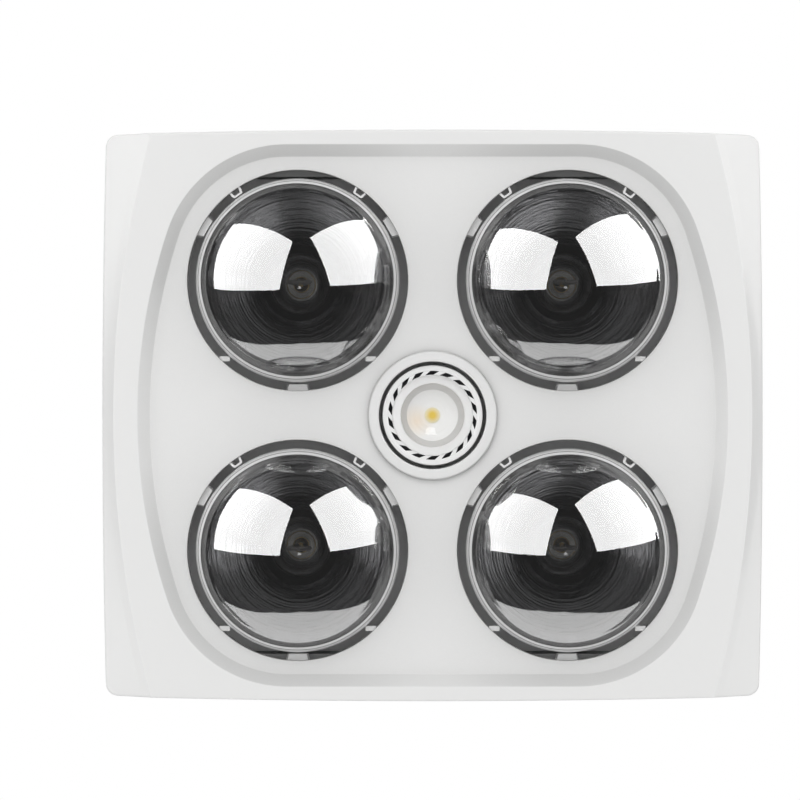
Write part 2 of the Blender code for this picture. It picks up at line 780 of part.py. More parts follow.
def make_fascia():
    """The moulded cover: dish, holes with collars, tabs, raised centre collar and pegs."""
    outer = fascia_outline()
    skirt = fascia_outline(FASCIA_WALL)
    middle = (0.0, 0.0)
    holes = [circle(centre, HOLE_RADIUS, FINE_STEPS) for centre in lamp_places()]
    collars = [circle(centre, HOLE_RADIUS + COLLAR_WALL, FINE_STEPS) for centre in lamp_places()]
    pegs = [circle(centre, PEG_RADIUS, TINY_STEPS) for centre in peg_places()]
    tabs = [tab for centre in lamp_places() for tab in hole_tabs(centre)]
    bosses = [boss for centre in lamp_places() for boss in hole_bosses(centre)]
    stubs = [stub for centre in lamp_places() for stub in hole_stubs(centre)]
    bezel_hole = circle(middle, BEZEL_HOLE_RADIUS, ROUND_STEPS)
    bezel_wall = circle(middle, BEZEL_HOLE_RADIUS + COLLAR_WALL, ROUND_STEPS)
    bezel_flat = circle(middle, BEZEL_RADIUS - BEZEL_SHOULDER, ROUND_STEPS)
    bezel_edge = circle(middle, BEZEL_RADIUS, ROUND_STEPS)
    named = [(tabs, "tab"), (bosses, "boss"), (stubs, "stub")]

    def zone_at(x, y):
        if not inside(x, y, outer) or inside(x, y, bezel_hole):
            return None
        if any(inside(x, y, hole) for hole in holes):
            for outlines, zone in named:
                if any(inside(x, y, outline) for outline in outlines):
                    return zone
            return None
        if any(inside(x, y, collar) for collar in collars):
            return "collar"
        if any(inside(x, y, peg) for peg in pegs):
            return "peg"
        if inside(x, y, bezel_wall):
            return "bezel_wall"
        if inside(x, y, bezel_edge):
            return "bezel"
        return "face" if inside(x, y, skirt) else "skirt"

    heights = {
        "skirt": (front, level(FASCIA_TOP_Z)),
        "face": (front, lambda x, y: front(x, y) + FASCIA_WALL),
        "collar": (front, level(COLLAR_TOP_Z)),
        "peg": (front, level(PEG_TOP_Z)),
        "tab": (level(TAB_FRONT_Z), level(COLLAR_TOP_Z)),
        "boss": (level(BOSS_FRONT_Z), level(COLLAR_TOP_Z)),
        "stub": (level(STUB_FRONT_Z), level(COLLAR_TOP_Z)),
        "bezel_wall": (bezel_front, level(BEZEL_TOP_Z)),
        "bezel": (bezel_front, level(FLOOR_Z + FASCIA_WALL)),
    }
    loops = [outer, fascia_outline(EDGE_ROUND), skirt, dish_outline(),
             dish_outline(DISH_SLOPE_WIDTH), bezel_hole, bezel_wall, bezel_flat, bezel_edge]
    loops += holes + collars + pegs + tabs + bosses + stubs
    bm = relief(loops, zone_at, heights, [crease(-1), crease(1)])
    return new_piece("fascia", bm, white_plastic)


# Housing

def tub_outline(inset=0.0):
    return rounded_rectangle(TUB_HALF_X - inset, TUB_HALF_Y - inset,
                             TUB_CORNER_RADIUS - inset, TUB_CORNER_STEPS)


def clamp_places():
    return [(CLAMP_X * sx, flange_line() * sy) for sx, sy in LAMP_SIGNS]


def cable_hole_place():
    """Where the wires pass from the terminal box into the tub."""
    return (BOX_WALL + CABLE_HOLE_RADIUS + CABLE_HOLE_MARGIN - TUB_HALF_X + BOX_INSET, 0.0)


def make_tub():
    """The folded steel box, open below, with its flange under the ceiling board."""
    flange = rounded_rectangle(FLANGE_HALF_X, FLANGE_HALF_Y, TUB_CORNER_RADIUS, TUB_CORNER_STEPS)
    outside = tub_outline()
    hollow = tub_outline(SHEET)
    open_places = [circle((0.0, 0.0), INLET_RADIUS, FINE_STEPS),
                   circle(cable_hole_place(), CABLE_HOLE_RADIUS, SMALL_STEPS)]
    for centre in peg_places():
        open_places.append(circle(centre, PEG_RADIUS + PEG_PLAY, TINY_STEPS))
    for centre in clamp_places():
        open_places.append(circle(centre, CLAMP_SCREW_RADIUS + PEG_PLAY, TINY_STEPS))

    def zone_at(x, y):
        if not inside(x, y, flange) or any(inside(x, y, place) for place in open_places):
            return None
        if not inside(x, y, outside):
            return "flange"
        return "roof" if inside(x, y, hollow) else "wall"

    heights = {
        "flange": (level(-SHEET), level(0.0)),
        "wall": (level(-SHEET), level(tub_height())),
        "roof": (level(tub_height() - SHEET), level(tub_height())),
    }
    bm = relief([flange, outside, hollow] + open_places, zone_at, heights)
    return new_piece("housing_tub", bm, steel_sheet)


def make_deflector():
    """The bright plate that turns the heat back, with its rim turned up to the tub."""
    edge = tub_outline(SHEET + GAP)
    turn = tub_outline(SHEET + GAP + SHEET)
    hole = bell_radius(DEFLECTOR_Z - LAMP_WIDEST_Z) + DEFLECTOR_LAMP_PLAY
    open_places = [circle(centre, hole, FINE_STEPS) for centre in lamp_places()]
    open_places.append(circle((0.0, 0.0), DEFLECTOR_SPOT_RADIUS, ROUND_STEPS))

    def zone_at(x, y):
        if not inside(x, y, edge) or any(inside(x, y, place) for place in open_places):
            return None
        return "sheet" if inside(x, y, turn) else "rim"

    heights = {
        "sheet": (level(DEFLECTOR_Z), level(DEFLECTOR_Z + SHEET)),
        "rim": (level(DEFLECTOR_Z), level(DEFLECTOR_Z + DEFLECTOR_TURN_HEIGHT)),
    }
    bm = relief([edge, turn] + open_places, zone_at, heights)
    return new_piece("heat_deflector_plate", bm, steel_sheet)


# Heat lamps

def bell_radius(rise):
    """Radius of the lamp's reflector bell at a height over its widest plane."""
    along = rise / LAMP_BELL_HEIGHT
    swell = (1 - along ** BELL_BELLY_SHARE) ** BELL_WAIST_SHARE
    return LAMP_NECK_RADIUS + (LAMP_RADIUS - LAMP_NECK_RADIUS) * swell


def tail_radius():
    """Radius of what a screw cap is cemented on."""
    return CAP_RADIUS - CAP_CREST - CAP_WALL - GAP


def lamp_cap_base():
    """Height of the heat lamp's cap rim."""
    return LAMP_WIDEST_Z + LAMP_BELL_HEIGHT + LAMP_NECK_HEIGHT + LAMP_THROAT_HEIGHT


def tub_height():
    """The tub is as tall as the lamps in their holders need."""
    return lamp_cap_base() + HOLDER_LIP + HOLDER_HEIGHT + GAP + SHEET


def glass_outline():
    """The glass from the dome's tip up to the end of its tail, as (radius, height)."""
    shoulder = LAMP_RADIUS - LAMP_SHOULDER_RADIUS
    reach = LAMP_DOME_RADIUS - LAMP_SHOULDER_RADIUS
    lean = math.asin(shoulder / reach)
    down = -math.pi / 2
    dome_centre = (0.0, LAMP_WIDEST_Z + reach * math.cos(lean))
    out = arc(dome_centre, LAMP_DOME_RADIUS, down, down + lean, DOME_STEPS)
    out += arc((shoulder, LAMP_WIDEST_Z), LAMP_SHOULDER_RADIUS, down + lean, 0.0,
               SHOULDER_STEPS)[1:]
    for step in range(1, BELL_STEPS + 1):
        rise = LAMP_BELL_HEIGHT * step / BELL_STEPS
        out.append((bell_radius(rise), LAMP_WIDEST_Z + rise))
    base = lamp_cap_base()
    out.append((LAMP_NECK_RADIUS, base - LAMP_THROAT_HEIGHT))
    out.append((tail_radius(), base))
    out.append((tail_radius(), base + LAMP_TAIL_DEPTH))
    return out


def offset_profile(points, distance):
    """The profile moved to its left, square to its own run."""
    out = []
    last = len(points) - 1
    for index, (radius, height) in enumerate(points):
        before = points[max(index - 1, 0)]
        after = points[min(index + 1, last)]
        run = Vector((after[0] - before[0], after[1] - before[1])).normalized()
        out.append((radius - run.y * distance, height + run.x * distance))
    out[0] = (0.0, points[0][1] + distance)
    out[-1] = (points[-1][0] - distance, points[-1][1])
    return out


def make_glass(places):
    outer = glass_outline()
    inner = offset_profile(outer, LAMP_GLASS_WALL)
    profile = [(0.0, outer[0][1])] + outer[1:] + list(reversed(inner))
    first = turned_piece("heat_lamp_1_glass", profile, ROUND_STEPS, lamp_glass, places[0])
    repeat(first, "heat_lamp_{}_glass", places)


def repeat(first, pattern, places):
    """Copies of a lamp piece at the other lamps' places."""
    for number, (x, y) in enumerate(places[1:], start=2):
        copy_piece(first, pattern.format(number), (x, y, first.location.z))


def settle(piece):
    """Keep what the modifiers made as the piece's own mesh, and remove the tools."""
    graph = bpy.context.evaluated_depsgraph_get()
    made = bpy.data.meshes.new_from_object(piece.evaluated_get(graph))
    tools = [change.object for change in piece.modifiers]
    piece.modifiers.clear()
    piece.data = made
    for tool in tools:
        bpy.data.objects.remove(tool, do_unlink=True)
    return piece


def rod(bm, start, end, radius, steps):
    """A round bar between two points."""
    start, end = Vector(start), Vector(end)
    run = end - start
    turn = run.to_track_quat("Z", "Y").to_matrix().to_4x4()
    turn.translation = start
    corners = prism(bm, circle((0.0, 0.0), radius, steps), 0.0, run.length)
    bmesh.ops.transform(bm, matrix=turn, verts=corners)


def make_filaments(places):
    """A glass stem in the neck, two leads and the filament between their ends."""
    base = lamp_cap_base()
    stem = tail_radius() - LAMP_GLASS_WALL - GAP
    low = base - STEM_HEIGHT / 2
    high = base + LAMP_TAIL_DEPTH
    end = low - LEAD_LENGTH
    x, y = places[0]
    profile = [(0.0, low), (stem / 2, low), (stem, base), (stem, high), (0.0, high)]
    piece = turned_piece("heat_lamp_1_filament", profile, TINY_STEPS, tungsten, places[0])
    leads = bmesh.new()
    for side in (-1, 1):
        lead_x = x + side * LEAD_SPREAD
        rod(leads, (x + side * stem / 4, y, base), (lead_x, y, end), LEAD_RADIUS, LEAD_STEPS)
    boolean(piece, cutter("lead_tool", leads), "UNION")
    coil = bmesh.new()
    reach = LEAD_SPREAD + COIL_OVERHANG
    rod(coil, (x - reach, y, end + COIL_DROP), (x + reach, y, end + COIL_DROP),
        COIL_RADIUS, LEAD_STEPS)
    boolean(piece, cutter("coil_tool", coil), "UNION")
    settle(piece)
    repeat(piece, "heat_lamp_{}_filament", places)


# Screw caps and lampholders, which the heat lamps and the centre lamp share

def cap_profile(base):
    """The section of a threaded cap with its closed end, as a ring."""
    low = base + GAP
    top = low + CAP_HEIGHT
    thread = top - low - CAP_SKIRT_HEIGHT
    out = [(CAP_RADIUS, low), (CAP_RADIUS, low + CAP_SKIRT_HEIGHT)]
    for turn in range(CAP_TURNS):
        start = low + CAP_SKIRT_HEIGHT + thread * turn / CAP_TURNS
        out.append((CAP_RADIUS - CAP_CREST, start + thread / CAP_TURNS / 4))
        out.append((CAP_RADIUS, start + thread / CAP_TURNS * 3 / 4))
    bore = CONTACT_STEM_RADIUS + GAP
    inner = CAP_RADIUS - CAP_CREST - CAP_WALL
    out += [(CAP_END_RADIUS, top + CAP_END_HEIGHT), (bore, top + CAP_END_HEIGHT),
            (bore, top), (inner, top - CAP_WALL), (inner, low)]
    return out


def contact_profile(base):
    seat = base + GAP + CAP_HEIGHT + CAP_END_HEIGHT + GAP
    root = base + CAP_HEIGHT - CONTACT_HEIGHT
    return [(0.0, root), (CONTACT_STEM_RADIUS, root), (CONTACT_STEM_RADIUS, seat),
            (CONTACT_RADIUS, seat), (0.0, seat + CONTACT_HEIGHT)]


def shell_radius():
    """Bore of the holder's threaded shell."""
    return CAP_RADIUS + SHELL_PLAY


def holder_bore_top(base):
    return contact_profile(base)[-1][1] + HOLDER_HEADROOM


def holder_profile(base):
    bore = shell_radius() + SHELL_WALL + GAP
    outer = bore + HOLDER_WALL
    foot = bore + HOLDER_FOOT_WALL
    lip = base + HOLDER_LIP
    top = lip + HOLDER_HEIGHT
    roof = holder_bore_top(base)
    return [(0.0, roof), (bore, roof), (bore, lip), (outer, lip),
            (outer, top - HOLDER_FOOT_HEIGHT), (foot, top - HOLDER_FOOT_HEIGHT),
            (foot, top), (0.0, top)]


def shell_profile(base):
    inner = shell_radius()
    low = base + HOLDER_LIP + SHELL_INSET
    return [(inner, low), (inner + SHELL_WALL, low), (inner + SHELL_WALL, low + SHELL_HEIGHT),
            (inner, low + SHELL_HEIGHT)]


def make_screw_fittings(places):
    """Cap, contact, holder body and threaded shell of every heat lamp."""
    base = lamp_cap_base()
    kinds = (
        ("heat_lamp_{}_cap", cap_profile(base), nickel, True),
        ("heat_lamp_{}_contact", contact_profile(base), brass, False),
        ("lampholder_{}_body", holder_profile(base), porcelain, False),
        ("lampholder_{}_shell", shell_profile(base), brass, True),
    )
    for pattern, profile, material, closed in kinds:
        steps = TINY_STEPS if pattern.startswith("lampholder") else SMALL_STEPS
        first = turned_piece(pattern.format(1), profile, steps, material, places[0], closed)
        repeat(first, pattern, places)


# Centre lamp

def spot_cap_base():
    return SPOT_FRONT_Z + SPOT_BODY_HEIGHT


def spot_seat():
    """Height of the ledge that the lens lies on, and of the cup's floor over it."""
    lens_front = SPOT_FRONT_Z + SPOT_RIM_STEP
    return lens_front + SPOT_LENS_THICKNESS + GAP


def make_spot():
    """The centre lamp: finned body with its rim, lens, chip, cap and contact."""
    seat = spot_seat()
    cup = seat + SPOT_CUP_DEPTH
    recess = SPOT_LENS_RADIUS + GAP
    step = SPOT_FRONT_Z + SPOT_RIM_STEP
    base = spot_cap_base()
    body = [
        (0.0, cup), (SPOT_CUP_RADIUS, cup), (recess - SPOT_LEDGE, seat), (recess, seat),
        (recess, step), (SPOT_RIM_INNER_RADIUS, step), (SPOT_RIM_INNER_RADIUS, SPOT_FRONT_Z),
        (SPOT_RIM_RADIUS, SPOT_FRONT_Z), (SPOT_RIM_RADIUS, SPOT_FRONT_Z + SPOT_RIM_HEIGHT),
        (SPOT_WAIST_RADIUS, SPOT_FRONT_Z + SPOT_WAIST_HEIGHT), (SPOT_TOP_RADIUS, base),
        (tail_radius(), base), (tail_radius(), base + LAMP_TAIL_DEPTH),
        (0.0, base + LAMP_TAIL_DEPTH),
    ]
    turned_piece("led_body", body, ROUND_STEPS, white_plastic)
    lens = [
        (0.0, step - SPOT_LENS_CROWN), (SPOT_LENS_RADIUS / 2, step - SPOT_LENS_CROWN * 3 / 4),
        (SPOT_LENS_RADIUS, step), (SPOT_LENS_RADIUS, seat - GAP), (0.0, seat - GAP),
    ]
    turned_piece("led_lens", lens, ROUND_STEPS, lamp_glass)
    chip = [(0.0, cup - GAP - SPOT_CHIP_THICKNESS),
            (SPOT_CHIP_RADIUS, cup - GAP - SPOT_CHIP_THICKNESS),
            (SPOT_CHIP_RADIUS, cup - GAP), (0.0, cup - GAP)]
    turned_piece("led_chip", chip, SMALL_STEPS, chip_yellow)
    turned_piece("led_cap", cap_profile(base), SMALL_STEPS, nickel, closed=True)
    turned_piece("led_contact", contact_profile(base), SMALL_STEPS, brass)
    turned_piece("led_holder_body", holder_profile(base), TINY_STEPS, porcelain)
    turned_piece("led_holder_shell", shell_profile(base), TINY_STEPS, brass, closed=True)


def chip_yellow(name):
    return finish(name, (0.80, 0.62, 0.10), 0.5)


def make_strap():
    """The bent strap that carries the centre lampholder from the tub's roof."""
    high = tub_height() - SHEET - GAP
    web = spot_cap_base() + HOLDER_LIP + HOLDER_HEIGHT + GAP
    span = STRAP_HALF_SPAN
    thick = STRAP_THICKNESS
    foot = span + STRAP_FOOT
    right = [(span, web), (span, high - thick), (foot, high - thick), (foot, high),
             (span - thick, high), (span - thick, web + thick)]
    outline = right + [(-x, z) for x, z in reversed(right)]
    bm = bmesh.new()
    corners = prism(bm, outline, -STRAP_WIDTH / 2, STRAP_WIDTH / 2)
    turn_up(bm, corners)
    new_piece("led_holder_bracket", bm, steel_sheet, smooth=False)


def turn_up(bm, corners):
    """Turn a plan shape upright: its y becomes the height."""
    for corner in corners:
        x, height, y = corner.co
        corner.co = (x, y, height)


# Blower

def roof_top():
    return tub_height() + GAP


def scroll_outline(inset=0.0):
    """The casing's plan: a spiral that widens to the outlet's mouth."""
    out = [(SCROLL_MOUTH_X, inset - SCROLL_MAX_RADIUS)]
    growth = SCROLL_MAX_RADIUS - SCROLL_MIN_RADIUS
    start, end = math.radians(SCROLL_START_ANGLE), math.radians(SCROLL_END_ANGLE)
    for step in range(SCROLL_STEPS, -1, -1):
        along = step / SCROLL_STEPS
        radius = SCROLL_MIN_RADIUS + growth * along - inset
        angle = start + (end - start) * along
        out.append((radius * math.cos(angle), radius * math.sin(angle)))
    out.append((SCROLL_MOUTH_X, SCROLL_MOUTH_TOP_Y - inset))
    return out


def make_scroll():
    """The casing's floor with the inlet, its spiral wall, and its lid."""
    outer = scroll_outline()
    inner = scroll_outline(SHEET)
    inlet = circle((0.0, 0.0), INLET_RADIUS, FINE_STEPS)
    base = roof_top()

    def zone_at(x, y):
        if not inside(x, y, outer) or inside(x, y, inlet):
            return None
        return "floor" if inside(x, y, inner) else "wall"

    heights = {
        "floor": (level(base), level(base + SHEET)),
        "wall": (level(base), level(base + SCROLL_HEIGHT)),
    }
    bm = relief([outer, inner, inlet], zone_at, heights)
    new_piece("scroll_casing", bm, steel_sheet)
    hole = circle((0.0, 0.0), MOTOR_RADIUS + GAP, ROUND_STEPS)
    lid = lid_low()

    def lid_zone(x, y):
        return "lid" if inside(x, y, outer) and not inside(x, y, hole) else None

    bm = relief([outer, hole], lid_zone, {"lid": (level(lid), level(lid + SHEET))})
    new_piece("scroll_lid", bm, steel_sheet)


def lid_low():
    return roof_top() + SCROLL_HEIGHT + GAP


def impeller_top():
    return roof_top() + IMPELLER_BASE_RISE + IMPELLER_HEIGHT


def make_impeller():
    """The squirrel-cage wheel: back plate with hub, blades and the ring at the inlet."""
    top = impeller_top()
    low = roof_top() + IMPELLER_BASE_RISE
    bore = SHAFT_RADIUS + GAP
    plate = [(bore, top - HUB_HEIGHT), (HUB_RADIUS, top - HUB_HEIGHT), (HUB_RADIUS, top - HUB_WEB),
             (IMPELLER_RADIUS, top - HUB_WEB), (IMPELLER_RADIUS, top), (bore, top)]
    piece = turned_piece("impeller", plate, ROUND_STEPS, dark_plastic, closed=True)
    inner = IMPELLER_RADIUS - IMPELLER_RIM
    ring = [(inner, low), (IMPELLER_RADIUS, low),
            (IMPELLER_RADIUS, low + IMPELLER_RING_HEIGHT), (inner, low + IMPELLER_RING_HEIGHT)]
    blades = bmesh.new()
    half = IMPELLER_BLADE_THICKNESS / 2
    margin = IMPELLER_RIM / 4
    for number in range(IMPELLER_BLADES):
        turn = 2 * math.pi * (number + 1 / 2) / IMPELLER_BLADES
        along = Vector((math.cos(turn), math.sin(turn)))
        across = Vector((-along.y, along.x))
        root = along * (inner + margin / 2)
        tip = along * (IMPELLER_RADIUS - margin) + across * IMPELLER_BLADE_LEAN
        outline = [root - across * half, tip - across * half, tip + across * half,
                   root + across * half]
        prism(blades, [tuple(point) for point in outline],
              low + IMPELLER_RING_HEIGHT / 2, top - HUB_WEB / 2)
    boolean(piece, cutter("blade_tool", blades), "UNION")
    boolean(piece, cutter("ring_tool", turned(bmesh.new(), ring, ROUND_STEPS, True)), "UNION")
    settle(piece)


def make_motor():
    """The motor that hangs through the scroll's lid, and the shaft it turns."""
    ear_low = lid_low() + SHEET + GAP
    low = lid_low() - MOTOR_BELOW_LID
    high = lid_low() + MOTOR_ABOVE_LID
    bore = SHAFT_RADIUS + GAP
    inner = MOTOR_RADIUS - MOTOR_WALL
    boss = high + MOTOR_BOSS_HEIGHT
    case = [
        (0.0, boss), (MOTOR_BOSS_RADIUS, boss), (MOTOR_BOSS_RADIUS, high), (MOTOR_RADIUS, high),
        (MOTOR_RADIUS, ear_low + MOTOR_EAR_THICKNESS),
        (MOTOR_EAR_RADIUS, ear_low + MOTOR_EAR_THICKNESS), (MOTOR_EAR_RADIUS, ear_low),
        (MOTOR_RADIUS, ear_low), (MOTOR_RADIUS, low), (inner, low), (inner, high - MOTOR_WALL),
        (bore, high - MOTOR_WALL), (bore, boss - MOTOR_WALL), (0.0, boss - MOTOR_WALL),
    ]
    turned_piece("motor_case", case, ROUND_STEPS, steel_sheet)
    turned_piece("motor_end_plate", ring_profile(bore, inner - GAP, low, low + MOTOR_END_PLATE),
                 ROUND_STEPS, steel_sheet, closed=True)
    stator = low + STATOR_RISE
    past = ROTOR_PAST_STATOR
    turned_piece("motor_stator",
                 ring_profile(STATOR_BORE_RADIUS, inner - GAP, stator, stator + STATOR_HEIGHT),
                 ROUND_STEPS, dark_steel, closed=True)
    turned_piece("motor_rotor",
                 ring_profile(bore, STATOR_BORE_RADIUS - ROTOR_AIR_GAP, stator - past,
                              stator + STATOR_HEIGHT + past),
                 ROUND_STEPS, dark_steel, closed=True)
    shaft_low = impeller_top() - HUB_HEIGHT - SHAFT_PAST_HUB
    shaft = [(0.0, shaft_low), (SHAFT_RADIUS, shaft_low),
             (SHAFT_RADIUS, boss - MOTOR_WALL - GAP), (0.0, boss - MOTOR_WALL - GAP)]
    turned_piece("fan_shaft", shaft, TINY_STEPS, nickel)


def ring_profile(inner, outer, low, high):
    return [(inner, low), (outer, low), (outer, high), (inner, high)]


def dark_steel(name):
    return finish(name, (0.20, 0.20, 0.21), 0.5, 1.0)


# Outlet with its back-draught flaps

def outlet_centre():
    """Middle of the outlet across the mouth, as (y, height)."""
    return (SCROLL_MOUTH_TOP_Y - SCROLL_MAX_RADIUS) / 2, roof_top() + SCROLL_HEIGHT / 2


def pin_x():
    return SCROLL_MOUTH_X + GAP + SPIGOT_PLATE + FLAP_PIN_X


def make_spigot():
    """The plate over the mouth and the round tube that takes the duct."""
    y, z = outlet_centre()
    half = SCROLL_HEIGHT / 2
    plate = rectangle(y - half, z - half, y + half, z + half)
    tube = circle((y, z), SPIGOT_RADIUS, FINE_STEPS)
    bore = circle((y, z), SPIGOT_RADIUS - SPIGOT_WALL, FINE_STEPS)
    start = SCROLL_MOUTH_X + GAP

    def zone_at(u, v):
        if not inside(u, v, plate) or inside(u, v, bore):
            return None
        return "tube" if inside(u, v, tube) else "plate"

    heights = {
        "plate": (level(start), level(start + SPIGOT_PLATE)),
        "tube": (level(start), level(start + SPIGOT_LENGTH)),
    }
    bm = relief([plate, tube, bore], zone_at, heights)
    for corner in bm.verts:
        u, v, reach = corner.co
        corner.co = (reach, u, v)
    piece = new_piece("outlet_spigot", bm, steel_sheet)
    drill = bmesh.new()
    tall = SPIGOT_RADIUS + OVERRUN
    rod(drill, (pin_x(), y, z - tall), (pin_x(), y, z + tall), PIN_RADIUS + GAP, TINY_STEPS)
    boolean(piece, cutter("pin_drill", drill), "DIFFERENCE")
    settle(piece)
    pin = bmesh.new()
    reach = SPIGOT_RADIUS + PIN_PAST_TUBE
    rod(pin, (pin_x(), y, z - reach), (pin_x(), y, z + reach), PIN_RADIUS, TINY_STEPS)
    new_piece("damper_pin", pin, nickel, origin=(pin_x(), y, z))


def make_flap(name, side):
    """A half-round flap with its knuckle on the pin; the two share the pin's height."""
    y, z = outlet_centre()
    radius = SPIGOT_RADIUS - SPIGOT_WALL - FLAP_PLAY
    bore = PIN_RADIUS + GAP
    knuckle = bore + KNUCKLE_WALL
    start = knuckle + FLAP_KNUCKLE_PLAY
    lean = math.asin(start / radius)
    low = KNUCKLE_SPLIT if side < 0 else -KNUCKLE_SPLIT - KNUCKLE_HEIGHT
    high = low + KNUCKLE_HEIGHT
    root = bore + KNUCKLE_WALL / 2
    edge = arc((0.0, 0.0), radius, lean - math.pi / 2, math.pi / 2 - lean, FLAP_STEPS)
    outline = edge + [(start, high), (root, high), (root, low), (start, low)]
    bm = bmesh.new()
    turned(bm, ring_profile(bore, knuckle, low, high), TINY_STEPS, True)
    bmesh.ops.translate(bm, verts=bm.verts, vec=(pin_x(), y, z))
    piece = new_piece(name, bm, steel_sheet, origin=(pin_x(), y, z))
    plate = bmesh.new()
    corners = prism(plate, outline, -FLAP_THICKNESS / 2, FLAP_THICKNESS / 2)
    for corner in corners:
        u, v, depth = corner.co
        corner.co = (pin_x() + depth, y + side * u, z + v)
    boolean(piece, cutter(name + "_tool", plate), "UNION")
    settle(piece)


# Wiring

def box_low_corner():
    return BOX_INSET - TUB_HALF_X, -BOX_WIDTH / 2


def make_terminal_box():
    x, y = box_low_corner()
    base = roof_top()
    outer = rectangle(x, y, x + BOX_LENGTH, y + BOX_WIDTH)
    inner = rectangle(x + BOX_WALL, y + BOX_WALL, x + BOX_LENGTH - BOX_WALL,
                      y + BOX_WIDTH - BOX_WALL)
    hole = circle(cable_hole_place(), CABLE_HOLE_RADIUS, SMALL_STEPS)

    def zone_at(u, v):
        if not inside(u, v, outer) or inside(u, v, hole):
            return None
        return "floor" if inside(u, v, inner) else "wall"

    heights = {
        "floor": (level(base), level(base + BOX_WALL)),
        "wall": (level(base), level(base + BOX_HEIGHT)),
    }
    bm = relief([outer, inner, hole], zone_at, heights)
    piece = new_piece("terminal_box", bm, grey_plastic)
    gx, gz = gland_place()
    side = y + BOX_WIDTH
    drill = bmesh.new()
    rod(drill, (gx, side - OVERRUN, gz), (gx, side + OVERRUN, gz), GLAND_SHANK + GAP, SMALL_STEPS)
    boolean(piece, cutter("gland_drill", drill), "DIFFERENCE")
    settle(piece)
    lid = bmesh.new()
    top = base + BOX_HEIGHT + GAP
    prism(lid, outer, top, top + BOX_WALL)
    new_piece("terminal_box_lid", lid, grey_plastic, smooth=False)


def gland_place():
    """Where the cable gland stands in the box's side, as (x, height)."""
    x, _ = box_low_corner()
    return x + BOX_LENGTH / 2, roof_top() + BOX_HEIGHT / 2


def make_gland():
    """The empty cable gland: shank through the wall, six-sided nut and domed end."""
    gx, gz = gland_place()
    _, y = box_low_corner()
    wall = y + BOX_WIDTH
    nut = wall + GAP + GLAND_NUT_HEIGHT
    end = wall + GLAND_LENGTH
    root = wall - BOX_WALL - GLAND_PAST_WALL
    profile = [
        (GLAND_BORE_RADIUS, root), (GLAND_SHANK, root), (GLAND_SHANK, wall + GAP),
        (GLAND_NUT_RADIUS, wall + GAP), (GLAND_NUT_RADIUS, nut), (GLAND_RADIUS, nut),
        (GLAND_RADIUS, (nut + end) / 2), (GLAND_SHANK, end), (GLAND_BORE_RADIUS, end),
    ]
    bm = bmesh.new()
    turned(bm, profile, SMALL_STEPS, True)
    for corner in bm.verts:
        across, up, reach = corner.co
        corner.co = (gx + across, reach, gz + up)
    new_piece("cable_gland", bm, dark_plastic)


def make_terminal_block():
    """The terminal block, with a groove between each pair of ways."""
    x, _ = box_low_corner()
    high_x = x + BOX_LENGTH - BOX_WALL - BLOCK_MARGIN
    low_x = high_x - BLOCK_LENGTH
    base = roof_top() + BOX_WALL + GAP
    pitch = BLOCK_WIDTH / BLOCK_WAYS
    outline = [(high_x, -BLOCK_WIDTH / 2), (high_x, BLOCK_WIDTH / 2)]
    bars = []
    for way in range(1, BLOCK_WAYS):
        y = pitch * way - BLOCK_WIDTH / 2
        bars.append(rectangle(low_x, y - BLOCK_GROOVE / 2, high_x, y + BLOCK_GROOVE / 2))
    outline += [(low_x, BLOCK_WIDTH / 2), (low_x, -BLOCK_WIDTH / 2)]

    def zone_at(u, v):
        if not inside(u, v, outline):
            return None
        return "groove" if any(inside(u, v, bar) for bar in bars) else "block"

    heights = {
        "block": (level(base), level(base + BLOCK_HEIGHT)),
        "groove": (level(base), level(base + BLOCK_HEIGHT - BLOCK_GROOVE_DEPTH)),
    }
    bm = relief([outline] + bars, zone_at, heights)
    new_piece("terminal_block", bm, porcelain, smooth=False)


def make_cutout():
    """The thermal cut-out, a small can on a round base, on the deflector plate."""
    base = DEFLECTOR_Z + SHEET + GAP
    shoulder = base + CUTOUT_HEIGHT
    top = shoulder + CUTOUT_CAN_HEIGHT
    profile = [(0.0, base), (CUTOUT_RADIUS, base), (CUTOUT_RADIUS, shoulder),
               (CUTOUT_CAN_RADIUS, shoulder), (CUTOUT_CAN_RADIUS, top), (0.0, top)]
    turned_piece("thermal_cutout", profile, SMALL_STEPS, dark_plastic, (0.0, LAMP_PITCH / 2))


# Clamps

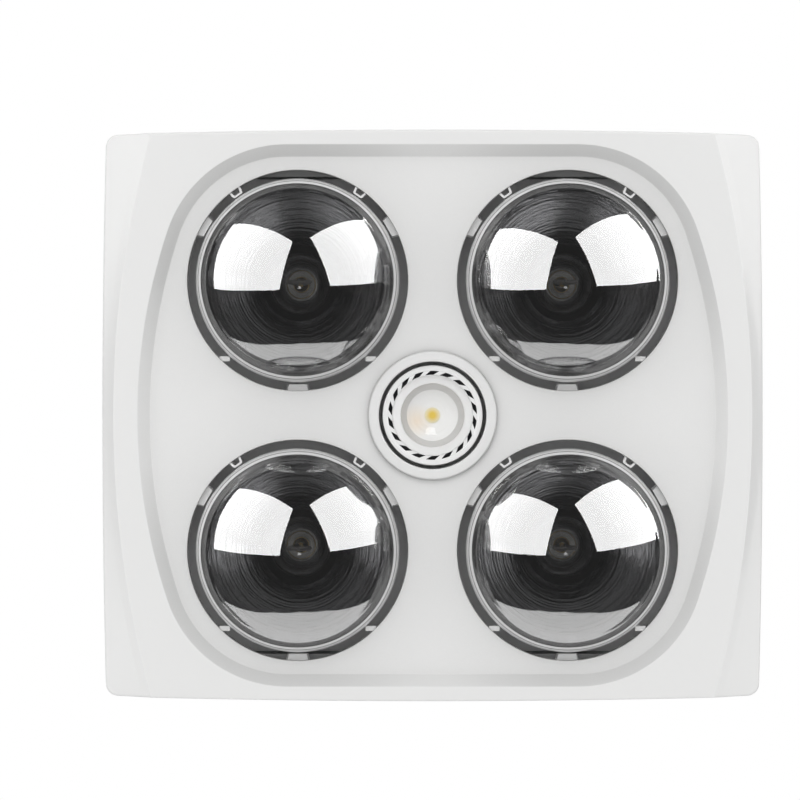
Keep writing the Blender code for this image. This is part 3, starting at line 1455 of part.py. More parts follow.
def make_clamps(places):
    """A screw through the flange at each place, and the arm that swings out on it."""
    seat = -SHEET - GAP
    head = seat - CLAMP_HEAD_HEIGHT
    tip = CLAMP_SCREW_TOP_Z - CLAMP_SCREW_RADIUS
    screw = [(0.0, head), (CLAMP_HEAD_RADIUS, head), (CLAMP_HEAD_RADIUS, seat),
             (CLAMP_SCREW_RADIUS, seat), (CLAMP_SCREW_RADIUS, tip),
             (CLAMP_SCREW_RADIUS / 2, CLAMP_SCREW_TOP_Z), (0.0, CLAMP_SCREW_TOP_Z)]
    first = turned_piece("clamp_screw_1", screw, TINY_STEPS, nickel, places[0])
    repeat(first, "clamp_screw_{}", places)
    half = CLAMP_ARM_HALF
    reach = CLAMP_ARM_LENGTH
    boss = circle((0.0, 0.0), half, TINY_STEPS)
    hole = circle((0.0, 0.0), CLAMP_SCREW_RADIUS + GAP, TINY_STEPS)
    arm = rectangle(0.0, -half, reach, half)
    pad = rectangle(reach - CLAMP_PAD_LENGTH, -half, reach, half)

    def zone_at(x, y):
        if inside(x, y, hole):
            return None
        if inside(x, y, boss):
            return "boss"
        if inside(x, y, pad):
            return "pad"
        return "arm" if inside(x, y, arm) else None

    top = CLAMP_ARM_Z + CLAMP_ARM_THICKNESS
    heights = {
        "boss": (level(CLAMP_ARM_Z), level(CLAMP_ARM_Z + CLAMP_ARM_HEIGHT)),
        "arm": (level(CLAMP_ARM_Z), level(top)),
        "pad": (level(CLAMP_ARM_Z - CLAMP_PAD_DROP), level(top)),
    }
    bm = relief([boss, hole, arm, pad], zone_at, heights)
    mesh_piece = new_piece("clamp_arm_1", bm, grey_plastic)
    for number, (x, y) in enumerate(places, start=1):
        turn = math.pi if x > 0 else 0.0
        if number == 1:
            mesh_piece.location = (x, y, 0.0)
            mesh_piece.rotation_euler.z = turn
        else:
            copy_piece(mesh_piece, f"clamp_arm_{number}", (x, y, 0.0), turn)


def main():
    clear_scene()
    places = lamp_places()
    make_fascia()
    make_tub()
    make_deflector()
    make_glass(places)
    make_filaments(places)
    make_screw_fittings(places)
    make_spot()
    make_strap()
    make_scroll()
    make_impeller()
    make_motor()
    make_spigot()
    make_flap("damper_flap_left", -1)
    make_flap("damper_flap_right", 1)
    make_terminal_box()
    make_terminal_block()
    make_gland()
    make_cutout()
    make_clamps(clamp_places())


main()
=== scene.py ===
"""Looks of the bathroom ceiling heater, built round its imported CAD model.

Metres, +Z up as it hangs: the fascia looks down, towards -Z, and the picture's up is -Y.
Each piece stands where its CAD node stands and rides with the same body.
"""
import json
import math

import bmesh
import bpy
from mathutils import Matrix, Vector, geometry

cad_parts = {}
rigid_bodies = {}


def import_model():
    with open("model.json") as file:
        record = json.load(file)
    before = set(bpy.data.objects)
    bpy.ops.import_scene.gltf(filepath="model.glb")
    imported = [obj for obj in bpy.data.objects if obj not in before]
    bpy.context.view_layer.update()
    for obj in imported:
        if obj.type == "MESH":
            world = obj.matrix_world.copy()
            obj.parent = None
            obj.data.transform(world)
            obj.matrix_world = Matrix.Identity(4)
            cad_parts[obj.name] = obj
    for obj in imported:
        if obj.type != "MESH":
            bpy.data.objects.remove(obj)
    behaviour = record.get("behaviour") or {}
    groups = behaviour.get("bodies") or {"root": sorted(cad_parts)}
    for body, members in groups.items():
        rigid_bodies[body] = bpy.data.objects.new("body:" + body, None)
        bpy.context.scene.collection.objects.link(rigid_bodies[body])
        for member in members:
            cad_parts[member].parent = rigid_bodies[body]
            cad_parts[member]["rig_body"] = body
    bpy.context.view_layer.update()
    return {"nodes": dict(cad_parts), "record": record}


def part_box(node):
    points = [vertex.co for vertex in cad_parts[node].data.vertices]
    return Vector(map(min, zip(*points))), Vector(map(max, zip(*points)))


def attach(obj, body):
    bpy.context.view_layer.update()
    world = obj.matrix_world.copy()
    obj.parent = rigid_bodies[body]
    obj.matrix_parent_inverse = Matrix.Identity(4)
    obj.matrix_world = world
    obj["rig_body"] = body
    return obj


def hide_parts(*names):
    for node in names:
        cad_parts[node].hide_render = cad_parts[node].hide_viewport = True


# Shared values
MERGE = 0.00001
STEPS = 128                     # facets round large turned parts
MID_STEPS = 96                  # facets round middling ones
SMALL_STEPS = 48                # facets round small ones
THIN_STEPS = 32                 # facets round stems and threads
PEG_STEPS = 24                  # facets round pegs and screws
GAP = 0.0003
SCREW_RADIUS = 0.0032
SCREW_HEIGHT = 0.0020
ORIGIN = (0.0, 0.0)
UP = (0.0, 0.0, 1.0)
FILLET_LEAST_TURN = math.radians(25)
FILLET_REACH_SHARE = 0.45       # of the shorter side at a corner
SHARP_ANGLE = 35                # an edge bent by more degrees shows as an edge

# Lamp layout
LAMP_PITCH = 0.1656
LAMP_SIGNS = ((-1, -1), (1, -1), (-1, 1), (1, 1))

# Fascia plan
FASCIA_HALF_X = 0.203
FASCIA_HALF_Y = 0.175
FASCIA_SIDE_BOW_RADIUS = 6.39
FASCIA_END_BOW_RADIUS = 6.90
FASCIA_CORNER_RADIUS = 0.0075
FASCIA_WALL = 0.0025
CREASE_HALF_X = 0.1956
CREASE_RADIUS = 0.657
STRIP_LINE = 0.0014             # between the lines that shape the side strip
STRIP_LINES = 4
STRIP_HOLLOW = 0.35             # how much steeper the side strip starts than it ends
CREASE_SOFT = 0.0003
CREASE_REACH_SHARE = 1.02       # a crease runs just past the fascia's ends
DISH_HALF_X = 0.1808
DISH_HALF_Y = 0.166
DISH_SIDE_RADIUS = 0.356
DISH_CORNER_RADIUS = 0.077
DISH_SLOPE_WIDTH = 0.0072
DISH_SOFT = 0.0004
CORNER_ROUNDS = 6
LIP_ANGLES = (90, 65, 45, 25, 0)            # where a rounded edge is cut
SOFT_SHARES = (-1.0, -0.5, 0.0, 0.5, 1.0)   # where a soft bend is cut

# Fascia depths
RIDGE_Z = -0.0205
SIDE_EDGE_Z = -0.0085
FLOOR_Z = -0.0130
FASCIA_TOP_Z = -0.0015
EDGE_ROUND = 0.0014

# Fascia lamp holes and what stands in them
HOLE_RADIUS = 0.06775
HOLE_LIP = 0.0006
COLLAR_WALL = 0.0022
COLLAR_TOP_Z = -0.0030
TAB_INNER_RADIUS = 0.0637
TAB_ROOT_HALF = 0.0068
TAB_TIP_HALF = 0.0053
TAB_FRONT_Z = -0.0085
TAB_SLANT = 0.0011
TAB_ANGLES = (30, 150, 270)
BOSS_ANGLES = (55, 125)
BOSS_HALF = 0.0042
BOSS_WALL = 0.0012
BOSS_TIP_SHARE = 0.75
BOSS_REACH = 0.0043
BOSS_FRONT_Z = -0.0115
STUB_ANGLES = (227, 313)
STUB_HALF_X = 0.0032
STUB_HALF_Y = 0.0015
STUB_REACH = 0.0020
STUB_FRONT_Z = -0.0112
BEZEL_RADIUS = 0.0398
BEZEL_HOLE_RADIUS = 0.033
BEZEL_SHOULDER = 0.0014
BEZEL_LIP = 0.0009
BEZEL_FRONT_Z = -0.0168
BEZEL_TOP_Z = -0.0045
PEG_RADIUS = 0.003
PEG_TOP_Z = 0.012
PEG_X = 0.130
PEG_Y = 0.1565

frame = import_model()
NODES = frame["nodes"]
SLOTS = {part["node"]: part["material_slot"] for part in frame["record"]["subparts"]}


# Plan shapes

def lamp_places():
    half = LAMP_PITCH / 2
    return [(half * sx, half * sy) for sx, sy in LAMP_SIGNS]


def peg_places():
    return [(PEG_X * sx, PEG_Y * sy) for sx, sy in LAMP_SIGNS]


def round_pairs(ring):
    """Each item of a closed ring with the one that follows it."""
    return zip(ring, ring[1:] + ring[:1])


def polar(reach, angle, *rest):
    """A point at a reach and an angle in radians, then any further coordinates."""
    return (reach * math.cos(angle), reach * math.sin(angle), *rest)


def arc(centre, radius, start, end, steps):
    """Points along an arc, both ends included; angles in radians."""
    cx, cy = centre
    out = []
    for step in range(steps + 1):
        angle = start + (end - start) * step / steps
        out.append((cx + radius * math.cos(angle), cy + radius * math.sin(angle)))
    return out


def circle(centre, radius, steps=STEPS):
    return arc(centre, radius, 0.0, 2 * math.pi, steps)[:-1]


def rectangle(x_low, y_low, x_high, y_high):
    return [(x_low, y_low), (x_high, y_low), (x_high, y_high), (x_low, y_high)]


def filleted(points, radius, closed=True, steps=3):
    """The line with its corners rounded off."""
    out = []
    count = len(points)
    for index, corner in enumerate(points):
        here = Vector(corner)
        back = Vector(points[index - 1]) - here
        ahead = Vector(points[(index + 1) % count]) - here
        at_end = not closed and index in (0, count - 1)
        if at_end or min(back.length, ahead.length) < MERGE:
            out.append(corner)
            continue
        turn = math.pi - back.angle(ahead)
        if turn < FILLET_LEAST_TURN:
            out.append(corner)
            continue
        longest = min(back.length, ahead.length) * FILLET_REACH_SHARE
        cut = min(radius * math.tan(turn / 2), longest)
        start = here + back.normalized() * cut
        end = here + ahead.normalized() * cut
        for step in range(steps + 1):
            share = step / steps
            point = start * (1 - share) ** 2 + here * 2 * share * (1 - share) + end * share ** 2
            out.append(tuple(point))
    return out


def rounded(x_low, y_low, x_high, y_high, inset, radius):
    """A rectangle moved in by an inset, its corners rounded about the same centres."""
    return filleted(rectangle(x_low + inset, y_low + inset, x_high - inset, y_high - inset),
                    radius - inset, steps=6)


def within(x, y, outline):
    """Whether a plan point lies inside an outline."""
    found = False
    for (ax, ay), (bx, by) in round_pairs(outline):
        if (ay > y) != (by > y) and x < ax + (bx - ax) * (y - ay) / (by - ay):
            found = not found
    return found


def zoned(*areas):
    """What tells a plan point's zone: that of the first of these outlines round it."""
    def zone_at(x, y):
        return next((zone for outline, zone in areas if within(x, y, outline)), None)
    return zone_at


# Solids

def turned(profile, steps=STEPS, closed=False, material_at=None):
    """Turn (radius, height) points about the upright axis; a closed profile is a ring's."""
    bm = bmesh.new()
    rings = []
    for radius, height in profile:
        if radius < MERGE:
            rings.append([bm.verts.new((0.0, 0.0, height))])
            continue
        rings.append([bm.verts.new((x, y, height)) for x, y in circle(ORIGIN, radius, steps)])
    pairs = list(zip(rings, rings[1:]))
    if closed:
        pairs.append((rings[-1], rings[0]))
    for rank, (lower, upper) in enumerate(pairs):
        for index in range(steps):
            following = (index + 1) % steps
            corners = [lower[index % len(lower)], lower[following % len(lower)],
                       upper[following % len(upper)], upper[index % len(upper)]]
            unique = list(dict.fromkeys(corners))
            if len(unique) > 2:
                face = bm.faces.new(unique)
                if material_at:
                    face.material_index = material_at(rank)
    return bm


def prism(bm, outline, low, high, shrink=None):
    """A solid between two heights over a plan outline; its underside may be a smaller one."""
    skin(bm, [[(x, y, low) for x, y in (shrink or outline)], [(x, y, high) for x, y in outline]])


def relief(loops, zone_at, heights, lines=()):
    """A solid over a plan cut into zones, each with its own underside and topside."""
    points = []
    edges = []
    for loop in loops:
        first = len(points)
        points += [Vector(point) for point in loop]
        edges += round_pairs(list(range(first, len(points))))
    for line in lines:
        first = len(points)
        points += [Vector(point) for point in line]
        edges += [(first + index, first + index + 1) for index in range(len(line) - 1)]
    flat, _, facets = geometry.delaunay_2d_cdt(points, edges, [], 0, MERGE)[:3]
    zones = []
    for facet in facets:
        x = sum(flat[corner].x for corner in facet) / len(facet)
        y = sum(flat[corner].y for corner in facet) / len(facet)
        zones.append(zone_at(x, y))
    return raise_zones(flat, facets, zones, heights)


def raise_zones(flat, facets, zones, heights):
    """Give each facet of the plan its underside and topside, and close the steps."""
    bm = bmesh.new()
    levels = {}
    spans = {}
    for facet, zone in zip(facets, zones):
        if zone is None:
            continue
        for corner in facet:
            key = (corner, zone)
            if key not in spans:
                x, y = flat[corner].x, flat[corner].y
                spans[key] = tuple(height(x, y) for height in heights[zone])
                levels.setdefault(corner, []).extend(spans[key])
    for corner, values in levels.items():
        values.sort()
        kept = values[:1]
        for value in values[1:]:
            if value - kept[-1] > MERGE:
                kept.append(value)
        levels[corner] = kept
    made = {}

    def snap(corner, value):
        return min(range(len(levels[corner])), key=lambda rank: abs(levels[corner][rank] - value))

    def vertex(corner, rank):
        key = (corner, rank)
        if key not in made:
            made[key] = bm.verts.new((flat[corner].x, flat[corner].y, levels[corner][rank]))
        return made[key]

    borders = {}
    for facet, zone in zip(facets, zones):
        if zone is None:
            continue
        ranks = [tuple(snap(corner, value) for value in spans[corner, zone]) for corner in facet]
        bm.faces.new([vertex(c, rank[0]) for c, rank in zip(reversed(facet), reversed(ranks))])
        bm.faces.new([vertex(c, rank[1]) for c, rank in zip(facet, ranks)])
        for (one, rank_one), (two, rank_two) in round_pairs(list(zip(facet, ranks))):
            side = (rank_one, rank_two)
            if one > two:
                one, two = two, one
                side = (rank_two, rank_one)
            borders.setdefault((one, two), []).append(side)
    for (one, two), sides in borders.items():
        if len(sides) == 1:
            close_step(bm, vertex, one, two, sides[0][0], sides[0][1])
            continue
        (a_one, a_two), (b_one, b_two) = sides
        for face in (0, 1):
            close_step(bm, vertex, one, two, (a_one[face], b_one[face]),
                       (a_two[face], b_two[face]))
    return bm


def close_step(bm, vertex, one, two, ranks_one, ranks_two):
    """One upright wall facet over the plan edge from one to two."""
    low_one, high_one = sorted(ranks_one)
    low_two, high_two = sorted(ranks_two)
    up = [vertex(one, rank) for rank in range(low_one, high_one + 1)]
    down = [vertex(two, rank) for rank in range(high_two, low_two - 1, -1)]
    if len(up + down) > 2:
        bm.faces.new(up + down)


def add(bm, extra, matrix=None):
    """Join another solid, turned and moved."""
    if matrix:
        bmesh.ops.transform(extra, matrix=matrix, verts=extra.verts)
    passing = bpy.data.meshes.new("passing")
    extra.to_mesh(passing)
    extra.free()
    bm.from_mesh(passing)
    bpy.data.meshes.remove(passing)


def facing(place, direction=UP):
    """A place where a solid's own up turns to a direction."""
    turn = Vector(direction).to_track_quat("Z", "Y").to_matrix().to_4x4()
    return Matrix.Translation(place) @ turn


def skin(bm, rings, closed=False):
    """Join rings of points into a closed surface."""
    rings = [[bm.verts.new(point) for point in ring] for ring in rings]
    pairs = list(zip(rings, rings[1:]))
    if closed:
        pairs.append((rings[-1], rings[0]))
    else:
        bm.faces.new(rings[0])
        bm.faces.new(list(reversed(rings[-1])))
    for one, two in pairs:
        for (near, beyond), (far, past) in zip(round_pairs(one), round_pairs(two)):
            bm.faces.new((near, far, past, beyond))


def tube(bm, path, radius, sides=8):
    """A round wire or bead along a path."""
    path = [Vector(point) for point in path]
    last = len(path) - 1
    side = None
    rings = []
    for index, here in enumerate(path):
        run = (path[min(index + 1, last)] - path[max(index - 1, 0)]).normalized()
        side = run.orthogonal() if side is None else side - run * side.dot(run)
        side.normalize()
        other = run.cross(side)
        rings.append([here + side * x + other * y for x, y in circle(ORIGIN, radius, sides)])
    skin(bm, rings)


def threaded(bm, radius, depth, pitch, low, high, bore, steps=THIN_STEPS, rows=8):
    """A tube with a helical thread outside; the thread runs out at both ends."""
    count = round((high - low) / pitch * rows)
    outer = []
    for row in range(count + 1):
        height = low + (high - low) * row / count
        fade = max(0.0, min(1.0, (height - low) / pitch, (high - height) / pitch))
        ring = []
        for index in range(steps):
            wave = (1 + math.cos(2 * math.pi * ((height - low) / pitch - index / steps))) / 2
            reach = radius - depth * (1 - wave * fade)
            ring.append(polar(reach, 2 * math.pi * index / steps, height))
        outer.append(ring)
    inner = [[(x, y, height) for x, y in circle(ORIGIN, bore, steps)] for height in (high, low)]
    skin(bm, outer + inner, closed=True)


CROSS_WIDTH_SHARE = 0.16        # of a screw head's radius
CROSS_REACH_SHARE = 0.58
CROSS_FLOOR_SHARE = 0.4         # of its height
HEAD_RIM_SHARE = 0.35
HEAD_RINGS = (1.0, 0.94, 0.8, 0.65)


def screw_head(radius, height):
    """A domed head with a cross recess, its seat at height 0."""
    half = radius * CROSS_WIDTH_SHARE
    reach = radius * CROSS_REACH_SHARE
    cross = [(reach, -half), (reach, half), (half, half), (half, reach), (-half, reach),
             (-half, half), (-reach, half), (-reach, -half), (-half, -half), (-half, -reach),
             (half, -reach), (half, -half)]
    loops = [circle(ORIGIN, radius * share, PEG_STEPS) for share in HEAD_RINGS]

    def dome(x, y):
        away = min(1.0, math.hypot(x, y) / radius)
        return height * (HEAD_RIM_SHARE + (1 - HEAD_RIM_SHARE) * math.sqrt(1 - away * away))

    def zone_at(x, y):
        short, long = sorted((abs(x), abs(y)))
        return "recess" if short < half and long < reach else "head"

    heights = {"head": (level(0.0), dome), "recess": slab(0.0, height * CROSS_FLOOR_SHARE)}
    return relief(loops + [cross], zone_at, heights)


def rivet(radius, height):
    """A low domed rivet head."""
    angles = [math.pi / 2 * step / 5 for step in range(6)]
    profile = [(radius * math.sin(angle), height * math.cos(angle)) for angle in angles]
    return turned(profile + [(0.0, 0.0)], 20)


def level(value):
    """A flat height."""
    return lambda x, y: value


def slab(low, high):
    return level(low), level(high)


def dress(name, bm, finishes, node, stands=True, at=(0.0, 0.0, 0.0)):
    """Make the mesh a piece that rides with a CAD node's body and, as a rule, stands for it."""
    bmesh.ops.recalc_face_normals(bm, faces=bm.faces)
    mesh = bpy.data.meshes.new(name)
    bm.to_mesh(mesh)
    bm.free()
    for finish in finishes:
        mesh.materials.append(finish)
    mesh.shade_smooth()
    mesh.set_sharp_from_angle(angle=math.radians(SHARP_ANGLE))
    return place_piece(name, mesh, node, stands, at)


def place_piece(name, mesh, node, stands=True, at=(0.0, 0.0, 0.0)):
    piece = bpy.data.objects.new(name, mesh)
    piece.location = at
    bpy.context.scene.collection.objects.link(piece)
    even = piece.modifiers.new("even shading", "WEIGHTED_NORMAL")
    even.keep_sharp = True
    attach(piece, NODES[node]["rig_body"])
    if stands:
        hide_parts(node)
    return piece


def copies(pattern, bm, finishes, node_pattern):
    """The same piece at each of the four lamps."""
    x, y = lamp_places()[0]
    first = dress(pattern.format(1), bm, finishes, node_pattern.format(1), at=(x, y, 0.0))
    for number, (x, y) in enumerate(lamp_places()[1:], start=2):
        place_piece(pattern.format(number), first.data, node_pattern.format(number),
                    at=(x, y, 0.0))


def make_screws(name, node, places, direction=UP, radius=SCREW_RADIUS):
    """Screw heads that ride with a CAD node and leave it in view."""
    bm = bmesh.new()
    for place in places:
        add(bm, screw_head(radius, SCREW_HEIGHT), facing(place, direction))
    dress(name, bm, [NICKEL], node, stands=False)


# Materials

def base_finish(name, colour, roughness, metallic=0.0, **values):
    """A material and its shader with the values that are the same all over it."""
    made = bpy.data.materials.new(name)
    made.use_nodes = True
    shader = made.node_tree.nodes["Principled BSDF"]
    shader.inputs["Base Color"].default_value = (*colour, 1.0)
    shader.inputs["Roughness"].default_value = roughness
    shader.inputs["Metallic"].default_value = metallic
    for socket, value in values.items():
        shader.inputs[socket.replace("_", " ")].default_value = value
    return made, shader


def node(made, kind, links=None, values=None, **settings):
    """A node in a material's tree, its sockets joined or set."""
    added = made.node_tree.nodes.new("ShaderNode" + kind)
    for name, value in settings.items():
        setattr(added, name, value)
    for socket, value in (values or {}).items():
        added.inputs[socket].default_value = value
    for socket, source in (links or {}).items():
        made.node_tree.links.new(source, added.inputs[socket])
    return added


def own_place(made):
    """Where a point of the surface is, in the object's own metres."""
    return node(made, "TexCoord").outputs["Object"]


def away_from(made, place, values):
    """How far the surface is from a place, mapped as the values say."""
    away = node(made, "VectorMath", {0: own_place(made)}, {1: place}, operation="DISTANCE")
    return node(made, "MapRange", {"Value": away.outputs["Value"]}, values).outputs["Result"]


def grain(made, scale, detail=2.0, stretch=None):
    """A noise over the surface."""
    place = own_place(made)
    if stretch:
        place = node(made, "Mapping", {"Vector": place}, {"Scale": stretch}).outputs["Vector"]
    return node(made, "TexNoise", {"Vector": place},
                {"Scale": scale, "Detail": detail}).outputs["Fac"]


def tint(made, shader, factor, dark, light):
    """Let the colour run between two tints."""
    mix = node(made, "Mix", data_type="RGBA")
    made.node_tree.links.new(factor, mix.inputs[0])
    mix.inputs[6].default_value = (*dark, 1.0)
    mix.inputs[7].default_value = (*light, 1.0)
    made.node_tree.links.new(mix.outputs[2], shader.inputs["Base Color"])


def vary(made, shader, socket, factor, low, high):
    """Let a value of the shader run between two limits."""
    span = node(made, "MapRange", {"Value": factor}, {"To Min": low, "To Max": high})
    made.node_tree.links.new(span.outputs["Result"], shader.inputs[socket])


def bump(made, shader, height, distance, strength=1.0, under=None):
    """Raise the surface by a pattern, over another bump where one is given."""
    raised = node(made, "Bump", {"Height": height}, {"Distance": distance, "Strength": strength})
    if under:
        made.node_tree.links.new(under, raised.inputs["Normal"])
    made.node_tree.links.new(raised.outputs["Normal"], shader.inputs["Normal"])
    return raised.outputs["Normal"]


def plastic(name, dark, light, low, high, size=900.0, depth=0.00002, gloss=0.2):
    """Moulded plastic: a faint drift of tint, uneven gloss and a fine grain."""
    made, shader = base_finish(name, light, low, Specular_IOR_Level=gloss)
    tint(made, shader, grain(made, 14.0), dark, light)
    vary(made, shader, "Roughness", grain(made, 60.0, 4.0), low, high)
    bump(made, shader, grain(made, size, 3.0), depth, 0.5)
    return made


def shaded_plastic(name, deep, open_tint, low, high):
    """Moulded plastic with painted shade: its colour darkens towards a deep grey near other
    surfaces, and drifts a little at random.
    """
    made, shader = base_finish(name, open_tint, low, Specular_IOR_Level=0.05)
    # Painted shade: an occlusion node darkens the colour where other surfaces are near.
    shade = node(made, "AmbientOcclusion", values={"Distance": SHADE_REACH}, samples=8)
    drift = node(made, "MapRange", {"Value": grain(made, 14.0)}, {"To Min": 0.96, "To Max": 1.0})
    both = node(made, "Math", {0: shade.outputs["AO"], 1: drift.outputs["Result"]},
                operation="MULTIPLY")
    tint(made, shader, both.outputs["Value"], deep, open_tint)
    vary(made, shader, "Roughness", grain(made, 60.0, 4.0), low, high)
    bump(made, shader, grain(made, 900.0, 3.0), 0.00002, 0.5)
    return made


def metal(name, dark, light, low, high, size=300.0, stretch=None, depth=0.00002):
    """Bare metal with drawn or rolled marks along one way."""
    made, shader = base_finish(name, light, low, 1.0)
    marks = grain(made, size, 4.0, stretch)
    tint(made, shader, marks, dark, light)
    vary(made, shader, "Roughness", grain(made, 40.0, 4.0), low, high)
    bump(made, shader, marks, depth, 0.4)
    return made


def galvanised(name):
    """Zinc-coated sheet: large crystals of slightly unlike brightness and gloss."""
    made, shader = base_finish(name, (0.60, 0.61, 0.62), 0.4, 1.0)
    crystals = node(made, "TexVoronoi", {"Vector": own_place(made)},
                    {"Scale": 120.0, "Randomness": 1.0})
    parts = node(made, "SeparateColor", {"Color": crystals.outputs["Color"]})
    tint(made, shader, parts.outputs["Red"], (0.52, 0.53, 0.545), (0.67, 0.68, 0.69))
    vary(made, shader, "Roughness", parts.outputs["Green"], 0.34, 0.5)
    bump(made, shader, grain(made, 700.0, 3.0), 0.00003, 0.35)
    return made


def clear_glass(name, refraction, roughness=0.0):
    """Blown glass, which is never quite even."""
    made, shader = base_finish(name, (1.0, 1.0, 1.0), roughness, 0.0,
                               Transmission_Weight=1.0, IOR=refraction)
    bump(made, shader, grain(made, 22.0, 1.0), 0.0004, 0.05)
    return made


def mirror_coat(name):
    """The aluminium inside the bell, with the turned rings of the mould."""
    made, shader = base_finish(name, (0.62, 0.62, 0.63), 0.08, 1.0)
    place = own_place(made)
    parts = node(made, "SeparateXYZ", {"Vector": place})
    flat = node(made, "CombineXYZ", {"X": parts.outputs["X"], "Y": parts.outputs["Y"]})
    reach = node(made, "VectorMath", {0: flat.outputs["Vector"]}, operation="LENGTH")
    rings = node(made, "CombineXYZ", {"X": reach.outputs["Value"], "Y": parts.outputs["Z"]})
    turns = node(made, "TexNoise", {"Vector": rings.outputs["Vector"]},
                 {"Scale": 420.0, "Detail": 3.0})
    streaks = node(made, "Mapping", {"Vector": place}, {"Scale": (60.0, 60.0, 260.0)})
    smear = node(made, "TexNoise", {"Vector": streaks.outputs["Vector"]},
                 {"Scale": 1.0, "Detail": 4.0})
    first = bump(made, shader, turns.outputs["Fac"], 0.0007, 0.35)
    bump(made, shader, smear.outputs["Fac"], 0.0009, 0.3, first)
    vary(made, shader, "Roughness", smear.outputs["Fac"], 0.05, 0.2)
    return made


def coat_edge(name):
    """A matt light-grey band round the lamp's shoulder: painted reflection of the bright room that
    the glass mirrors there at grazing angles.
    """
    made, shader = base_finish(name, (0.66, 0.66, 0.66), 0.3, Specular_IOR_Level=0.4,
                               Coat_Weight=0.5, Coat_Roughness=0.05)
    tint(made, shader, grain(made, 30.0, 3.0), (0.60, 0.60, 0.60), (0.70, 0.70, 0.70))
    bump(made, shader, grain(made, 260.0, 2.0), 0.00004, 0.4)
    return made


def warm_bowl(name):
    """The centre lamp's white bowl, with a painted warm reflection of the chip on one side."""
    made, shader = base_finish(name, (0.82, 0.82, 0.81), 0.2, Specular_IOR_Level=0.6)
    near = away_from(made, CHIP_REFLECTION_PLACE, {"From Max": CHIP_REFLECTION_REACH, "To Min": 1.0, "To Max": 0.0})
    tint(made, shader, near, (0.93, 0.93, 0.92), (0.92, 0.80, 0.66))
    vary(made, shader, "Roughness", grain(made, 90.0, 3.0), 0.16, 0.26)
    bump(made, shader, grain(made, 500.0, 2.0), 0.00002, 0.3)
    return made


def phosphor(name):
    """The chip's phosphor: deep yellow in the middle, paler to its edge."""
    made, shader = base_finish(name, (0.86, 0.66, 0.14), 0.3, Coat_Weight=1.0, Coat_Roughness=0.08)
    edge = away_from(made, CHIP_PLACE,
                     {"From Min": SPOT_CHIP_RADIUS / 3, "From Max": SPOT_CHIP_RADIUS})
    tint(made, shader, edge, (0.84, 0.60, 0.10), (0.86, 0.80, 0.60))
    bump(made, shader, grain(made, 2200.0, 2.0), 0.00002, 0.4)
    return made


# where the bowl's painted reflection of the chip is warmest, and how far it spreads
CHIP_REFLECTION_PLACE = (-0.0095, 0.0035, 0.004)
CHIP_REFLECTION_REACH = 0.011
# how far the dish's painted shade looks for nearby surfaces
SHADE_REACH = 0.045
CHIP_PLACE = (0.0, 0.0, 0.0045)
SPOT_CHIP_RADIUS = 0.0047

WHITE = plastic("white_moulding", (0.80, 0.80, 0.795), (0.81, 0.81, 0.805), 0.34, 0.4, gloss=0.05)
# The dish's plastic, with painted shade near the lamps, slopes and corners.
DISH_WHITE_PAINTED_SHADE = shaded_plastic("white_dish_painted_shade", (0.37, 0.37, 0.365), (0.80, 0.80, 0.795), 0.4, 0.5)
LED_WHITE = plastic("white_lamp_body", (0.83, 0.83, 0.825), (0.86, 0.86, 0.855), 0.22, 0.30)
# Black parts, and the black slot floor of the centre lamp, which is painted shade.
BLACK_AND_PAINTED_SHADE = plastic("black_moulding_and_painted_shade", (0.022, 0.022, 0.024), (0.035, 0.035, 0.037), 0.4, 0.6)
GREY = plastic("grey_moulding", (0.30, 0.31, 0.32), (0.34, 0.35, 0.36), 0.42, 0.56)
CERAMIC = plastic("holder_ceramic", (0.80, 0.775, 0.72), (0.86, 0.84, 0.79), 0.3, 0.5, 500.0)
ZINC = galvanised("galvanised_sheet")
# Painted shade for the box's inside: level faces near black, upright faces a darker grey than the
# zinc.
INSIDE_PAINTED_SHADE = plastic("sheet_inside_painted_shade", (0.10, 0.10, 0.10), (0.13, 0.13, 0.13), 0.5, 0.65)
DULL_SHEET = plastic("dull_sheet", (0.86, 0.86, 0.86), (0.91, 0.91, 0.91), 0.5, 0.65)
INSIDE_WALL_PAINTED_SHADE = plastic("wall_sheet_painted_shade", (0.30, 0.30, 0.30), (0.36, 0.36, 0.36), 0.5, 0.65)
ALUMINIUM = metal("bright_aluminium", (0.70, 0.71, 0.72), (0.80, 0.81, 0.82), 0.2, 0.34,
                  60.0, (1.0, 12.0, 12.0))
NICKEL = metal("nickel_plate", (0.62, 0.61, 0.58), (0.70, 0.69, 0.66), 0.18, 0.32)
BRASS = metal("brass", (0.70, 0.52, 0.24), (0.80, 0.62, 0.32), 0.22, 0.36)
TUNGSTEN = metal("filament_metal", (0.30, 0.29, 0.28), (0.38, 0.37, 0.36), 0.35, 0.55)
MOTOR_STEEL = metal("motor_steel", (0.16, 0.16, 0.17), (0.24, 0.24, 0.25), 0.4, 0.6)
PHOSPHOR = phosphor("chip_phosphor")
# Painted shade: the steep cup wall round the bowl is coloured grey, darker than the white bowl and
# body.
CUP_WALL_PAINTED_SHADE = plastic("cup_wall_painted_shade", (0.64, 0.635, 0.625), (0.69, 0.685, 0.675), 0.3, 0.42)
BOWL_PAINTED_REFLECTION = warm_bowl("warm_bowl")
SHOULDER_PAINTED_REFLECTION = coat_edge("coat_edge")
# Dark grey, for a line round the shoulder and as painted shade inside the lamp's neck.
DARK_LINE_AND_NECK_SHADE = plastic("dark_line_and_painted_neck_shade", (0.10, 0.10, 0.10), (0.14, 0.14, 0.14), 0.4, 0.5)
LAMP_GLASS = clear_glass("lamp_glass", 1.7)
SPOT_GLASS = clear_glass("spot_glass", 1.49)
FROSTED = clear_glass("spot_frosted_edge", 1.49, 0.35)
MIRROR = mirror_coat("mirror_coat")

